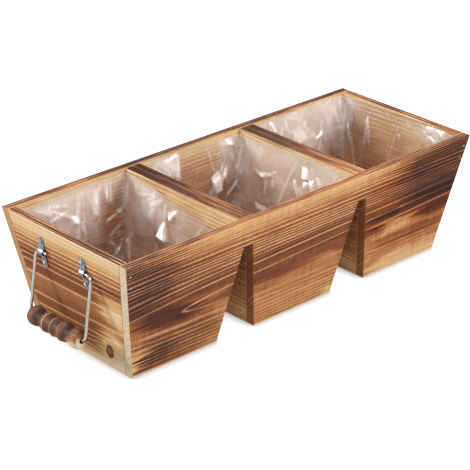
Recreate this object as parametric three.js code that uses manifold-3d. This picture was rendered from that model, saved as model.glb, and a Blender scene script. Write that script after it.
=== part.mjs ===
// Wooden planter box: three tapered bays in a row between one long front board and one long back
// board. Each bay has its own sloping cross walls, a floor that wedges into the taper and a clear film
// liner. A wire bail with a turned wooden grip swings in two saddle brackets on each end.
// Millimetres, +Z up. X runs along the length, the front faces -Y, and the origin is the middle of the
// footprint on the ground.

import * as THREE from 'three';
import { mergeVertices } from 'three/addons/utils/BufferGeometryUtils.js';
import Module from 'manifold-3d';

const wasm = await Module();
wasm.setup();

// ---------------------------------------------------------------- driving dimensions
const LENGTH = 500;            // outside of the rim, end to end
const DEPTH = 198;             // outside of the rim, front to back
const HEIGHT = 140;            // ground to rim
const INSET_X = 26;            // how far a cross wall leans in from rim to ground
const INSET_Y = 25;            // the same for the front and back boards
const BOARD = 10;              // board thickness
const DIVIDER_GAP = 1;         // slit between the two boards that part neighbouring bays, at the rim
const NOTCH_TOP = 109;         // height of the flat top of each notch in the long boards
const GLUE_GAP = 0.3;          // joint line between boards
const FLOOR_LOW = 3;           // underside of the floors
const FLOOR_THICK = 8;
const LINER_CLEAR = 0.5;       // between liner and wood
const LINER_THICK = 0.7;
const LINER_TOPS = [134, 136, 138];

const BRAD_LENGTH = 26;
const BRAD_R = 0.6;
const BRAD_HEAD_R = 1.25;
const END_BRAD_Z = [128.2, 114];
const DIVIDER_BRAD_Z = [121, 58];

const BRACKETS_Y = -5.15;      // middle between the brackets across the end, in the end's own frame
const BRACKET_Z = 108.2;       // bracket middle on the end's outer face
const BRACKET_HALF_SPAN = 33.05;
const BRACKET_WIDTH = 8;
const BRACKET_HALF_LENGTH = 18.2;
const STRAP = 1;               // strap thickness
const STRAP_OFF = 0.3;         // strap back face off the board
const SADDLE_IN = 2.4;         // inside radius of the saddle, about the wire axis
const SADDLE_SWEEP = 9;        // radius of the strap's bend from tab to saddle, at mid thickness
const WIRE_OFF = 2;            // wire axis off the board
const WIRE_UP = 0.9;           // and above the bracket's middle
const WIRE_R = 1.6;
const NAIL_Z = 13;             // nails above and below the bracket's middle
const NAIL_HEAD_R = 2.4;
const NAIL_R = 1;

const BAIL_Y = -3.05;          // bail centre across the end; it has slid along in its saddles
const BAIL_TILT = 9;           // degrees out from straight down, as it hangs
const BAIL_HALF_SPAN = 44.3;   // middle to each leg
const BAIL_DROP = 69.2;        // hinge axis to grip axis
const BAIL_TOP_BEND = 7;
const BAIL_LOW_BEND = 8;
const BAIL_END = 27.35;        // middle to each wire end, past the saddle
const GRIP_HALF = 40;
const GRIP_BORE_R = 2.8;
const GRIP_MOUTH_R = 4.5;      // the bore flares towards each end face
const GRIP_MOUTH_DEEP = 5;

// ---------------------------------------------------------------- derived
const kx = INSET_X / HEIGHT;
const ky = INSET_Y / HEIGHT;
const leanX = Math.atan(kx);
const leanY = Math.atan(ky);
const tx = BOARD / Math.cos(leanX);    // board thickness measured level
const ty = BOARD / Math.cos(leanY);
const notchX = [-LENGTH / 6, LENGTH / 6];
const bays = [
  [-LENGTH / 2, notchX[0] - DIVIDER_GAP / 2],
  [notchX[0] + DIVIDER_GAP / 2, notchX[1] - DIVIDER_GAP / 2],
  [notchX[1] + DIVIDER_GAP / 2, LENGTH / 2],
];

// ---------------------------------------------------------------- materials
const std = (color, roughness, metalness, extra = {}) =>
  new THREE.MeshStandardMaterial({ color, roughness, metalness, ...extra });
const mats = {
  front: () => std(0x9a6a3c, 0.62, 0),
  end: () => std(0xb98a58, 0.62, 0),
  divider: () => std(0x8a6340, 0.66, 0),
  floor: () => std(0xb08a5c, 0.7, 0),
  film: () => std(0xe6dedd, 0.12, 0, { transparent: true, opacity: 0.3 }),
  zinc: () => std(0xb9bec2, 0.32, 1),
  wire: () => std(0xc9c7c2, 0.4, 1),
  nail: () => std(0xaab0b6, 0.3, 1),
  brad: () => std(0xc4c0b8, 0.35, 1),
  grip: () => std(0x4a3226, 0.55, 0),
};

// ---------------------------------------------------------------- helpers
const V2 = (x, y) => new THREE.Vector2(x, y);
const V3 = (x, y, z) => new THREE.Vector3(x, y, z);

function solid(geometry, matrix) {
  const g = geometry.clone();
  if (matrix) g.applyMatrix4(matrix);
  for (const name of Object.keys(g.attributes)) if (name !== 'position') g.deleteAttribute(name);
  const m = mergeVertices(g, 1e-5);
  return new wasm.Manifold(new wasm.Mesh({
    numProp: 3,
    vertProperties: new Float32Array(m.attributes.position.array),
    triVerts: new Uint32Array(m.index.array),
  }));
}

function geometryOf(body) {
  const m = body.getMesh();
  const n = m.numProp;
  const count = m.vertProperties.length / n;
  const pos = new Float32Array(count * 3);
  for (let i = 0; i < count; i++) for (let c = 0; c < 3; c++) pos[3 * i + c] = m.vertProperties[n * i + c];
  const g = new THREE.BufferGeometry();
  g.setAttribute('position', new THREE.BufferAttribute(pos, 3));
  g.setIndex(new THREE.BufferAttribute(new Uint32Array(m.triVerts), 1));
  g.computeVertexNormals();
  return g;
}

// outline in X and Z, drawn through the depth
function prismXZ(points, y0, y1) {
  const g = new THREE.ExtrudeGeometry(new THREE.Shape(points.map(([x, z]) => V2(x, z))), { depth: y1 - y0, bevelEnabled: false });
  const m = new THREE.Matrix4().makeRotationX(Math.PI / 2);
  m.premultiply(new THREE.Matrix4().makeTranslation(0, y1, 0));
  return solid(g, m);
}

// outline in Y and Z, drawn along the length
function prismYZ(points, x0, x1) {
  const g = new THREE.ExtrudeGeometry(new THREE.Shape(points.map(([y, z]) => V2(y, z))), { depth: x1 - x0, bevelEnabled: false });
  const m = new THREE.Matrix4().set(0, 0, 1, 0, 1, 0, 0, 0, 0, 1, 0, 0, 0, 0, 0, 1);
  m.premultiply(new THREE.Matrix4().makeTranslation(x0, 0, 0));
  return solid(g, m);
}

// straight hole from point a, along direction d, for a length
function drill(radius, a, d, length, sides = 8) {
  const q = new THREE.Quaternion().setFromUnitVectors(V3(0, 1, 0), d);
  const mid = a.clone().addScaledVector(d, length / 2);
  return solid(new THREE.CylinderGeometry(radius, radius, length, sides), new THREE.Matrix4().compose(mid, q, V3(1, 1, 1)));
}

function piece(name, geometry, material, parent) {
  const mesh = new THREE.Mesh(geometry, material);
  mesh.name = name;
  parent.add(mesh);
  return mesh;
}

// a solid that narrows downward on all four sides; sizes are half widths at z0 and z1
function taper(cx, hx0, hx1, hy0, hy1, z0, z1) {
  const a = prismXZ([[cx - hx0, z0], [cx + hx0, z0], [cx + hx1, z1], [cx - hx1, z1]], -DEPTH, DEPTH);
  const b = prismYZ([[-hy0, z0], [hy0, z0], [hy1, z1], [-hy1, z1]], -LENGTH, LENGTH);
  return a.intersect(b);
}

// ---------------------------------------------------------------- brads
const bradOut = V3(0, -Math.cos(leanY), -Math.sin(leanY));   // out of the front board
const bradIn = bradOut.clone().negate();
const faceY = (z) => -(DEPTH / 2 - ky * (HEIGHT - z));       // front board's outer face
const inWall = (z) => -kx * (HEIGHT - z) - tx / 2;           // middle of a cross wall that faces +X

// every cross wall: where its outer face meets the rim, and which way it faces
const walls = [
  { name: 'left_end', x: bays[0][0], face: -1, z: END_BRAD_Z },
  { name: 'bay1_right', x: bays[0][1], face: 1, z: DIVIDER_BRAD_Z },
  { name: 'bay2_left', x: bays[1][0], face: -1, z: DIVIDER_BRAD_Z },
  { name: 'bay2_right', x: bays[1][1], face: 1, z: DIVIDER_BRAD_Z },
  { name: 'bay3_left', x: bays[2][0], face: -1, z: DIVIDER_BRAD_Z },
  { name: 'right_end', x: bays[2][1], face: 1, z: END_BRAD_Z },
];

const bradGeometry = new THREE.LatheGeometry([
  V2(0, -BRAD_LENGTH), V2(BRAD_R, -BRAD_LENGTH + 1.5), V2(BRAD_R, -0.7), V2(BRAD_HEAD_R, -0.5), V2(BRAD_HEAD_R, 0.15), V2(0, 0.15),
], 8);
bradGeometry.deleteAttribute('normal');

const bradHole = (p) => drill(BRAD_R + 0.4, p.clone().addScaledVector(bradOut, 1), bradIn, BRAD_LENGTH + 1.6)
  .add(drill(BRAD_HEAD_R + 0.4, p.clone().addScaledVector(bradOut, 1), bradIn, 2.1));

// ---------------------------------------------------------------- front and back boards
function longBoard() {
  const h = HEIGHT;
  const nh = kx * (h - NOTCH_TOP) + DIVIDER_GAP / 2;
  const nb = INSET_X + DIVIDER_GAP / 2;
  const outline = [[-LENGTH / 2, h], [-LENGTH / 2 + INSET_X, 0]];
  for (const x of notchX) outline.push([x - nb, 0], [x - nh, NOTCH_TOP], [x + nh, NOTCH_TOP], [x + nb, 0]);
  outline.push([LENGTH / 2 - INSET_X, 0], [LENGTH / 2, h]);
  const face = prismXZ(outline, -DEPTH, 0);
  const y = DEPTH / 2;
  const slab = prismYZ([[-y, h], [-y + INSET_Y, 0], [-y + INSET_Y + ty, 0], [-y + ty, h]], -LENGTH, LENGTH);
  let body = face.intersect(slab);
  for (const w of walls) for (const z of w.z) body = body.subtract(bradHole(V3(w.x + w.face * inWall(z), faceY(z), z)));
  return geometryOf(body);
}

const planter = new THREE.Group();
planter.name = 'wooden_planter_box';

const longBoardGeometry = longBoard();
for (const [side, turn] of [['front', 0], ['back', Math.PI]]) {
  const group = new THREE.Group();
  group.rotation.z = turn;
  planter.add(group);
  piece(`${side}_panel`, longBoardGeometry, mats.front(), group);
  const q = new THREE.Quaternion().setFromUnitVectors(V3(0, 1, 0), bradOut);
  for (const w of walls) {
    // the back board is the front one turned about, so its walls come in the opposite order
    const seen = turn ? walls[walls.length - 1 - walls.indexOf(w)].name : w.name;
    w.z.forEach((z, i) => {
      const brad = piece(`brad_${side}_${seen}_${i ? 'lower' : 'upper'}`, bradGeometry, mats.brad(), group);
      brad.position.set(w.x + w.face * inWall(z), faceY(z), z);
      brad.quaternion.copy(q);
    });
  }
}

// ---------------------------------------------------------------- cross walls: ends and dividers
// frame: outer face looks to +X, and its rim edge is at x = 0
function crossWall(bradZ, extra) {
  const h = HEIGHT;
  const section = prismXZ([[0, h], [-tx, h], [-INSET_X - tx, 0], [-INSET_X, 0]], -DEPTH, DEPTH);
  const top = DEPTH / 2 - ty - GLUE_GAP;
  const span = prismYZ([[-top, h], [-top + INSET_Y, 0], [top - INSET_Y, 0], [top, h]], -LENGTH, LENGTH);
  let body = section.intersect(span);
  for (const z of bradZ) {
    for (const s of [-1, 1]) {
      const p = V3(inWall(z), s * -faceY(z), z);
      const d = V3(0, -s * bradIn.y, bradIn.z);
      body = body.subtract(drill(BRAD_R + 0.4, p.clone().addScaledVector(d, -1), d, BRAD_LENGTH + 1.6));
    }
  }
  for (const cut of extra) body = body.subtract(cut);
  return geometryOf(body);
}

const dividerGeometry = crossWall(DIVIDER_BRAD_Z, []);
for (const w of walls.slice(1, 5)) {
  const divider = piece(`${w.name}_divider`, dividerGeometry, mats.divider(), planter);
  divider.position.x = w.x;
  divider.rotation.z = w.face > 0 ? 0 : Math.PI;
}

// ---------------------------------------------------------------- floors and film liners
bays.forEach(([x0, x1], i) => {
  const cx = (x0 + x1) / 2;
  const hx = (z, off) => (x1 - x0) / 2 - tx - kx * (HEIGHT - z) - off;
  const hy = (z, off) => DEPTH / 2 - ty - ky * (HEIGHT - z) - off;
  const f0 = FLOOR_LOW;
  const f1 = FLOOR_LOW + FLOOR_THICK;
  piece(`bay${i + 1}_floor`, geometryOf(taper(cx, hx(f0, GLUE_GAP), hx(f1, GLUE_GAP), hy(f0, GLUE_GAP), hy(f1, GLUE_GAP), f0, f1)), mats.floor(), planter);

  const l0 = f1 + LINER_CLEAR;
  const l1 = LINER_TOPS[i];
  const inner = LINER_CLEAR + LINER_THICK;
  const skin = taper(cx, hx(l0, LINER_CLEAR), hx(l1, LINER_CLEAR), hy(l0, LINER_CLEAR), hy(l1, LINER_CLEAR), l0, l1)
    .subtract(taper(cx, hx(l0 + LINER_THICK, inner), hx(l1 + 10, inner), hy(l0 + LINER_THICK, inner), hy(l1 + 10, inner), l0 + LINER_THICK, l1 + 10));
  piece(`bay${i + 1}_film_liner`, geometryOf(skin), mats.film(), planter);
});

// ---------------------------------------------------------------- brackets and nails
function bracketBody() {
  const out = STRAP_OFF + STRAP;
  const mid = STRAP_OFF + STRAP / 2;
  const rs = SADDLE_IN + STRAP / 2;
  const w = mid + SADDLE_SWEEP;                     // bend centre, out from the board
  const c = Math.sqrt((SADDLE_SWEEP + rs) ** 2 - (w - WIRE_OFF) ** 2);      // and above and below the wire
  const turn = THREE.MathUtils.radToDeg(Math.atan2(c, w - WIRE_OFF));
  const pts = [];
  // points about (cv, cw), angle from the way out of the board
  const arc = (cv, cw, r, a0, a1, n) => {
    for (let i = 0; i <= n; i++) {
      const a = THREE.MathUtils.degToRad(a0 + (a1 - a0) * i / n);
      pts.push([cw + r * Math.cos(a), WIRE_UP + cv + r * Math.sin(a)]);
    }
  };
  const h = STRAP / 2;
  pts.push([STRAP_OFF, -BRACKET_HALF_LENGTH]);
  arc(-c, w, SADDLE_SWEEP + h, 180, 180 - turn, 6);
  arc(0, WIRE_OFF, rs - h, -turn, turn, 10);
  arc(c, w, SADDLE_SWEEP + h, 180 + turn, 180, 6);
  pts.push([STRAP_OFF, BRACKET_HALF_LENGTH], [out, BRACKET_HALF_LENGTH]);
  arc(c, w, SADDLE_SWEEP - h, 180, 180 + turn, 6);
  arc(0, WIRE_OFF, rs + h, turn, -turn, 10);
  arc(-c, w, SADDLE_SWEEP - h, 180 - turn, 180, 6);
  pts.push([out, -BRACKET_HALF_LENGTH]);
  const strap = prismXZ(pts, -BRACKET_WIDTH / 2, BRACKET_WIDTH / 2);

  const r = BRACKET_WIDTH / 2;
  const round = [];
  for (let i = 0; i <= 8; i++) round.push([r * Math.cos(Math.PI * i / 8), BRACKET_HALF_LENGTH - r + r * Math.sin(Math.PI * i / 8)]);
  for (let i = 0; i <= 8; i++) round.push([-r * Math.cos(Math.PI * i / 8), -BRACKET_HALF_LENGTH + r - r * Math.sin(Math.PI * i / 8)]);
  let body = strap.intersect(prismYZ(round, -1, 20));
  for (const z of [-NAIL_Z, NAIL_Z]) body = body.subtract(drill(NAIL_R + 0.4, V3(-1, 0, z), V3(1, 0, 0), 6, 10));
  return body;
}
const bracketGeometry = geometryOf(bracketBody());

const nailSeat = STRAP_OFF + STRAP + 0.3;
const nailGeometry = new THREE.LatheGeometry([
  V2(0, -7.4), V2(NAIL_R, -5.6), V2(NAIL_R, nailSeat), V2(NAIL_HEAD_R, nailSeat), V2(NAIL_HEAD_R * 0.92, nailSeat + 0.7),
  V2(NAIL_HEAD_R * 0.6, nailSeat + 1.25), V2(0, nailSeat + 1.5),
], 10);
nailGeometry.deleteAttribute('normal');

// where each bracket sits on an end's outer face, in the end's own frame
const bracketFoot = (s) => V3(-kx * (HEIGHT - BRACKET_Z), BRACKETS_Y + s * BRACKET_HALF_SPAN, BRACKET_Z);
const outOfEnd = V3(Math.cos(leanX), 0, -Math.sin(leanX));
const upTheEnd = V3(Math.sin(leanX), 0, Math.cos(leanX));

const nailHoles = [];
for (const s of [-1, 1]) {
  for (const z of [-NAIL_Z, NAIL_Z]) {
    const p = bracketFoot(s).addScaledVector(upTheEnd, z).addScaledVector(outOfEnd, 2);
    nailHoles.push(drill(NAIL_R + 0.4, p, outOfEnd.clone().negate(), 10.1, 10));
  }
}
const endGeometry = crossWall(END_BRAD_Z, nailHoles);

// ---------------------------------------------------------------- bail wire
// a curve through a fixed list of points, so bends are fine and straights are single steps
class WirePath extends THREE.Curve {
  constructor(points) {
    super();
    this.points = points;
  }
  getPoint(t) {
    return this.points[Math.round(t * (this.points.length - 1))].clone();
  }
  getPointAt(u) {
    return this.getPoint(u);
  }
  getTangent(t) {
    const p = this.points;
    const i = Math.round(t * (p.length - 1));
    const a = p[Math.max(i - 1, 0)];
    const b = p[i];
    const c = p[Math.min(i + 1, p.length - 1)];
    const d = V3(0, 0, 0);
    if (i > 0) d.add(b.clone().sub(a).normalize());
    if (i < p.length - 1) d.add(c.clone().sub(b).normalize());
    return d.normalize();
  }
  getTangentAt(u) {
    return this.getTangent(u);
  }
}

function bailGeometry() {
  const half = [];
  half.push(V3(0, BAIL_END, 0));
  const bend = (cy, cz, r, a0, a1, n) => {
    for (let i = 0; i <= n; i++) {
      const a = THREE.MathUtils.degToRad(a0 + (a1 - a0) * i / n);
      half.push(V3(0, cy + r * Math.cos(a), cz + r * Math.sin(a)));
    }
  };
  bend(BAIL_HALF_SPAN - BAIL_TOP_BEND, -BAIL_TOP_BEND, BAIL_TOP_BEND, 90, 0, 7);
  bend(BAIL_HALF_SPAN - BAIL_LOW_BEND, -BAIL_DROP + BAIL_LOW_BEND, BAIL_LOW_BEND, 0, -90, 6);
  const points = [...half, ...half.map((p) => V3(0, -p.y, p.z)).reverse()];
  const ring = [];
  const sides = 10;
  for (let i = 0; i < sides; i++) ring.push(V2(WIRE_R * Math.cos(2 * Math.PI * i / sides), WIRE_R * Math.sin(2 * Math.PI * i / sides)));
  const g = new THREE.ExtrudeGeometry(new THREE.Shape(ring), { steps: points.length - 1, extrudePath: new WirePath(points), bevelEnabled: false });
  return geometryOf(solid(g));
}

// ---------------------------------------------------------------- turned grip
// half of the turned outline from the middle to one end: distance along, radius
const gripHalf = [
  [0, 10.5], [0.9, 10.3], [2, 9.9], [4, 9.65], [6.3, 9.6], [8.5, 9.7], [10.4, 10.0], [11.6, 10.4], [12.5, 10.7], [13.4, 10.5],
  [15, 10.3], [17, 9.9], [19, 9.3], [21, 8.8], [23, 8.6], [25, 8.8], [27.5, 9.5], [30, 10.2], [33, 10.5], [35.5, 10.3],
  [37.6, 9.6], [39.2, 8.7], [GRIP_HALF, 7.6],
];
function gripGeometry() {
  const profile = [];
  for (let i = gripHalf.length - 1; i >= 0; i--) profile.push(V2(gripHalf[i][1], -gripHalf[i][0]));
  for (let i = 1; i < gripHalf.length; i++) profile.push(V2(gripHalf[i][1], gripHalf[i][0]));
  profile.push(V2(GRIP_MOUTH_R, GRIP_HALF), V2(GRIP_BORE_R, GRIP_HALF - GRIP_MOUTH_DEEP), V2(GRIP_BORE_R, -GRIP_HALF + GRIP_MOUTH_DEEP), V2(GRIP_MOUTH_R, -GRIP_HALF));
  profile.push(profile[0].clone());
  const g = new THREE.LatheGeometry(profile, 24);
  return geometryOf(solid(g));
}

const bail = bailGeometry();
const grip = gripGeometry();

// ---------------------------------------------------------------- the two ends with their handles
for (const [side, x, turn] of [['left', -LENGTH / 2, Math.PI], ['right', LENGTH / 2, 0]]) {
  const end = new THREE.Group();
  end.position.x = x;
  end.rotation.z = turn;
  planter.add(end);
  piece(`${side}_end_panel`, endGeometry, mats.end(), end);

  for (const s of [-1, 1]) {
    // front or back as seen from outside the whole planter
    const where = (turn ? -s : s) < 0 ? 'front' : 'back';
    const mount = new THREE.Group();
    mount.position.copy(bracketFoot(s));
    mount.rotation.y = leanX;
    end.add(mount);
    piece(`${side}_${where}_bracket`, bracketGeometry, mats.zinc(), mount);
    for (const [level, z] of [['upper', NAIL_Z], ['lower', -NAIL_Z]]) {
      const nail = piece(`${side}_${where}_bracket_nail_${level}`, nailGeometry, mats.nail(), mount);
      nail.position.z = z;
      nail.rotation.z = -Math.PI / 2;
    }
  }

  const hinge = new THREE.Group();
  hinge.position.copy(bracketFoot(0)).addScaledVector(outOfEnd, WIRE_OFF).addScaledVector(upTheEnd, WIRE_UP);
  hinge.position.y = BAIL_Y;
  hinge.rotation.y = -THREE.MathUtils.degToRad(BAIL_TILT);
  end.add(hinge);
  piece(`${side}_bail_wire`, bail, mats.wire(), hinge);
  const turned = piece(`${side}_grip`, grip, mats.grip(), hinge);
  turned.position.z = -BAIL_DROP;
}

export default planter;
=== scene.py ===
import math

import bmesh
import bpy
import numpy as np
from mathutils import Matrix, Vector


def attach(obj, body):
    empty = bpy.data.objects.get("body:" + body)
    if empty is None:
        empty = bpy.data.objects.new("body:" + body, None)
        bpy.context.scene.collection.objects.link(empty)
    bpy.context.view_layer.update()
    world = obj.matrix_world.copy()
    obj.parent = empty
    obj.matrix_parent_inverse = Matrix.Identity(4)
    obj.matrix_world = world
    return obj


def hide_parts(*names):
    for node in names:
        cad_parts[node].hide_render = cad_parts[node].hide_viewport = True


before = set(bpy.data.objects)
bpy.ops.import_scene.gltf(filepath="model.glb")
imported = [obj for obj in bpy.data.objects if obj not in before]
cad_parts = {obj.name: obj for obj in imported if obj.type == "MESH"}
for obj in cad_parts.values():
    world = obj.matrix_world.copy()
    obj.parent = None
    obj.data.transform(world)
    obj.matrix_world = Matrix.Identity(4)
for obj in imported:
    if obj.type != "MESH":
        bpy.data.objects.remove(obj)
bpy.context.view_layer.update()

scene = bpy.context.scene
MM = 0.001

# ------------------------------------------------------------------ the planter's dimensions, millimetres
LENGTH, DEPTH, HEIGHT = 500.0, 198.0, 140.0
INSET_X, INSET_Y, BOARD = 26.0, 25.0, 10.0
GAP, NOTCH_TOP, GLUE = 1.0, 109.0, 0.3
KX, KY = INSET_X / HEIGHT, INSET_Y / HEIGHT
LEAN = math.atan(KX)
TX, TY = BOARD / math.cos(math.atan(KX)), BOARD / math.cos(math.atan(KY))
NOTCH_X = (-LENGTH / 6, LENGTH / 6)
BAYS = ((-LENGTH / 2, NOTCH_X[0] - GAP / 2), (NOTCH_X[0] + GAP / 2, NOTCH_X[1] - GAP / 2), (NOTCH_X[1] + GAP / 2, LENGTH / 2))
TILT = math.radians(9.0)
HINGE = (246.225, -3.05, 108.720)
DROP = 69.2
BRACKET_Z, BRACKETS_Y, BRACKET_SPAN = 108.2, -5.15, 33.05
WIRE_OFF, WIRE_UP = 2.0, 0.9


def lin(r, g, b):
    """A colour given as 0 to 255 display values, for a shader."""
    f = lambda c: c / 12.92 if c <= 0.04045 else ((c + 0.055) / 1.055) ** 2.4
    return (f(r / 255), f(g / 255), f(b / 255), 1.0)


# ------------------------------------------------------------------ node building
class Nodes:
    def __init__(self, name):
        self.mat = bpy.data.materials.new(name)
        self.mat.use_nodes = True
        self.tree = self.mat.node_tree
        self.tree.nodes.clear()
        self.out = self.tree.nodes.new("ShaderNodeOutputMaterial")

    def new(self, kind, **props):
        n = self.tree.nodes.new(kind)
        for k, v in props.items():
            setattr(n, k, v)
        return n

    def put(self, socket, value):
        if isinstance(value, bpy.types.NodeSocket):
            self.tree.links.new(value, socket)
        elif value is not None:
            socket.default_value = value

    def math(self, op, a, b=None, c=None, clamp=False):
        n = self.new("ShaderNodeMath", operation=op, use_clamp=clamp)
        for i, v in enumerate((a, b, c)):
            if v is not None:
                self.put(n.inputs[i], v)
        return n.outputs[0]

    def add(self, *xs):
        t = xs[0]
        for x in xs[1:]:
            t = self.math("ADD", t, x)
        return t

    def mul(self, a, b):
        return self.math("MULTIPLY", a, b)

    def vmath(self, op, a, b=None, c=None, out=0):
        n = self.new("ShaderNodeVectorMath", operation=op)
        for i, v in enumerate((a, b, c)):
            if v is not None:
                self.put(n.inputs[i], v)
        return n.outputs[out]

    def dot(self, vec, axis, offset=0.0):
        d = self.vmath("DOT_PRODUCT", vec, axis, out=1)
        return self.math("ADD", d, offset) if offset else d

    def scaled(self, vec, scale, shift=(0, 0, 0)):
        n = self.new("ShaderNodeVectorMath", operation="MULTIPLY_ADD")
        self.put(n.inputs[0], vec)
        n.inputs[1].default_value = scale
        n.inputs[2].default_value = shift
        return n.outputs[0]

    def combine(self, x, y, z):
        n = self.new("ShaderNodeCombineXYZ")
        for i, v in enumerate((x, y, z)):
            self.put(n.inputs[i], v)
        return n.outputs[0]

    def noise(self, vec, detail=2.0, rough=0.5, distort=0.0, colour=False):
        n = self.new("ShaderNodeTexNoise", noise_dimensions="3D")
        self.put(n.inputs["Vector"], vec)
        n.inputs["Scale"].default_value = 1.0
        n.inputs["Detail"].default_value = detail
        n.inputs["Roughness"].default_value = rough
        n.inputs["Distortion"].default_value = distort
        return n.outputs["Color" if colour else "Fac"]

    def around(self, value, size):
        """A 0 to 1 value moved to lie around 0, times size."""
        return self.math("MULTIPLY_ADD", value, size, -0.5 * size)

    def rand(self, value, seed=0.0):
        n = self.new("ShaderNodeTexWhiteNoise", noise_dimensions="1D")
        self.put(n.inputs["W"], self.math("ADD", value, seed))
        return n.outputs["Value"]

    def rise(self, x, x0, x1, y0=0.0, y1=1.0, kind="SMOOTHSTEP"):
        n = self.new("ShaderNodeMapRange", interpolation_type=kind, clamp=True)
        for i, v in enumerate((x, x0, x1, y0, y1)):
            self.put(n.inputs[i], v)
        return n.outputs[0]

    def lerp(self, t, a, b):
        n = self.new("ShaderNodeMix", data_type="FLOAT", clamp_factor=True)
        self.put(n.inputs[0], t)
        self.put(n.inputs[2], a)
        self.put(n.inputs[3], b)
        return n.outputs[0]

    def mix(self, t, a, b, blend="MIX"):
        n = self.new("ShaderNodeMix", data_type="RGBA", blend_type=blend, clamp_factor=True)
        self.put(n.inputs[0], t)
        self.put(n.inputs[6], a)
        self.put(n.inputs[7], b)
        return n.outputs[2]

    def ramp(self, t, stops):
        n = self.new("ShaderNodeValToRGB")
        e = n.color_ramp.elements
        while len(e) < len(stops):
            e.new(0.5)
        for el, (at, col) in zip(e, sorted(stops)):
            el.position = at
            el.color = col
        self.put(n.inputs[0], t)
        return n.outputs[0]

    def curve(self, x, points, wide, high, straight=False):
        """A drawn curve through points, x from 0 to wide and y from 0 to high."""
        n = self.new("ShaderNodeFloatCurve")
        c = n.mapping.curves[0]
        while len(c.points) < len(points):
            c.points.new(0.5, 0.5)
        for p, (a, b) in zip(c.points, sorted(points)):
            p.location = (a / wide, b / high)
            p.handle_type = "VECTOR" if straight else "AUTO_CLAMPED"
        n.mapping.update()
        self.put(n.inputs["Value"], self.mul(x, 1.0 / wide))
        return self.mul(n.outputs[0], high)

    def spot(self, flat, u, v, ru, rv, amount, turn=0.0, core=0.1):
        """amount inside a soft ellipse of the face, and nothing outside it."""
        n = self.new("ShaderNodeMapping", vector_type="TEXTURE")
        self.put(n.inputs["Vector"], flat)
        n.inputs["Location"].default_value = (u, v, 0)
        n.inputs["Rotation"].default_value = (0, 0, math.radians(turn))
        n.inputs["Scale"].default_value = (ru, rv, 1)
        return self.rise(self.vmath("LENGTH", n.outputs[0], out=1), core, 1.0, amount, 0.0)

    def spots(self, flat, items):
        total = None
        for it in items:
            s = self.spot(flat, *it)
            total = s if total is None else self.math("ADD", total, s)
        return total

    def position(self):
        """Where the point is on the piece, in millimetres."""
        n = self.new("ShaderNodeTexCoord")
        return self.vmath("MULTIPLY", n.outputs["Object"], (1000, 1000, 1000))

    def bump(self, height, strength, distance, normal=None):
        n = self.new("ShaderNodeBump")
        n.inputs["Strength"].default_value = strength
        n.inputs["Distance"].default_value = distance
        self.put(n.inputs["Height"], height)
        if normal is not None:
            self.put(n.inputs["Normal"], normal)
        return n.outputs[0]

    def principled(self, **values):
        n = self.new("ShaderNodeBsdfPrincipled")
        for k, v in values.items():
            self.put(n.inputs[k.replace("_", " ")], v)
        return n

    def done(self, shader):
        self.tree.links.new(shader, self.out.inputs["Surface"])
        return self.mat


# ------------------------------------------------------------------ scorched softwood
# A board has its own axes: u along the grain, v up the board, w in from the outer face. Growth rings lie round a
# pith line behind the face. The flame darkens the soft early wood first and leaves the hard late wood as pale lines.
EARLY = [
    (0.00, lin(228, 204, 168)), (0.18, lin(214, 172, 120)), (0.36, lin(182, 127, 80)), (0.54, lin(140, 84, 52)),
    (0.70, lin(104, 59, 41)), (0.85, lin(78, 46, 36)), (1.00, lin(58, 39, 33)),
]
LATE = [
    (0.00, lin(230, 208, 174)), (0.20, lin(228, 194, 148)), (0.40, lin(224, 176, 126)), (0.58, lin(220, 167, 119)),
    (0.72, lin(202, 149, 110)), (0.86, lin(170, 121, 93)), (1.00, lin(128, 91, 74)),
]


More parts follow.
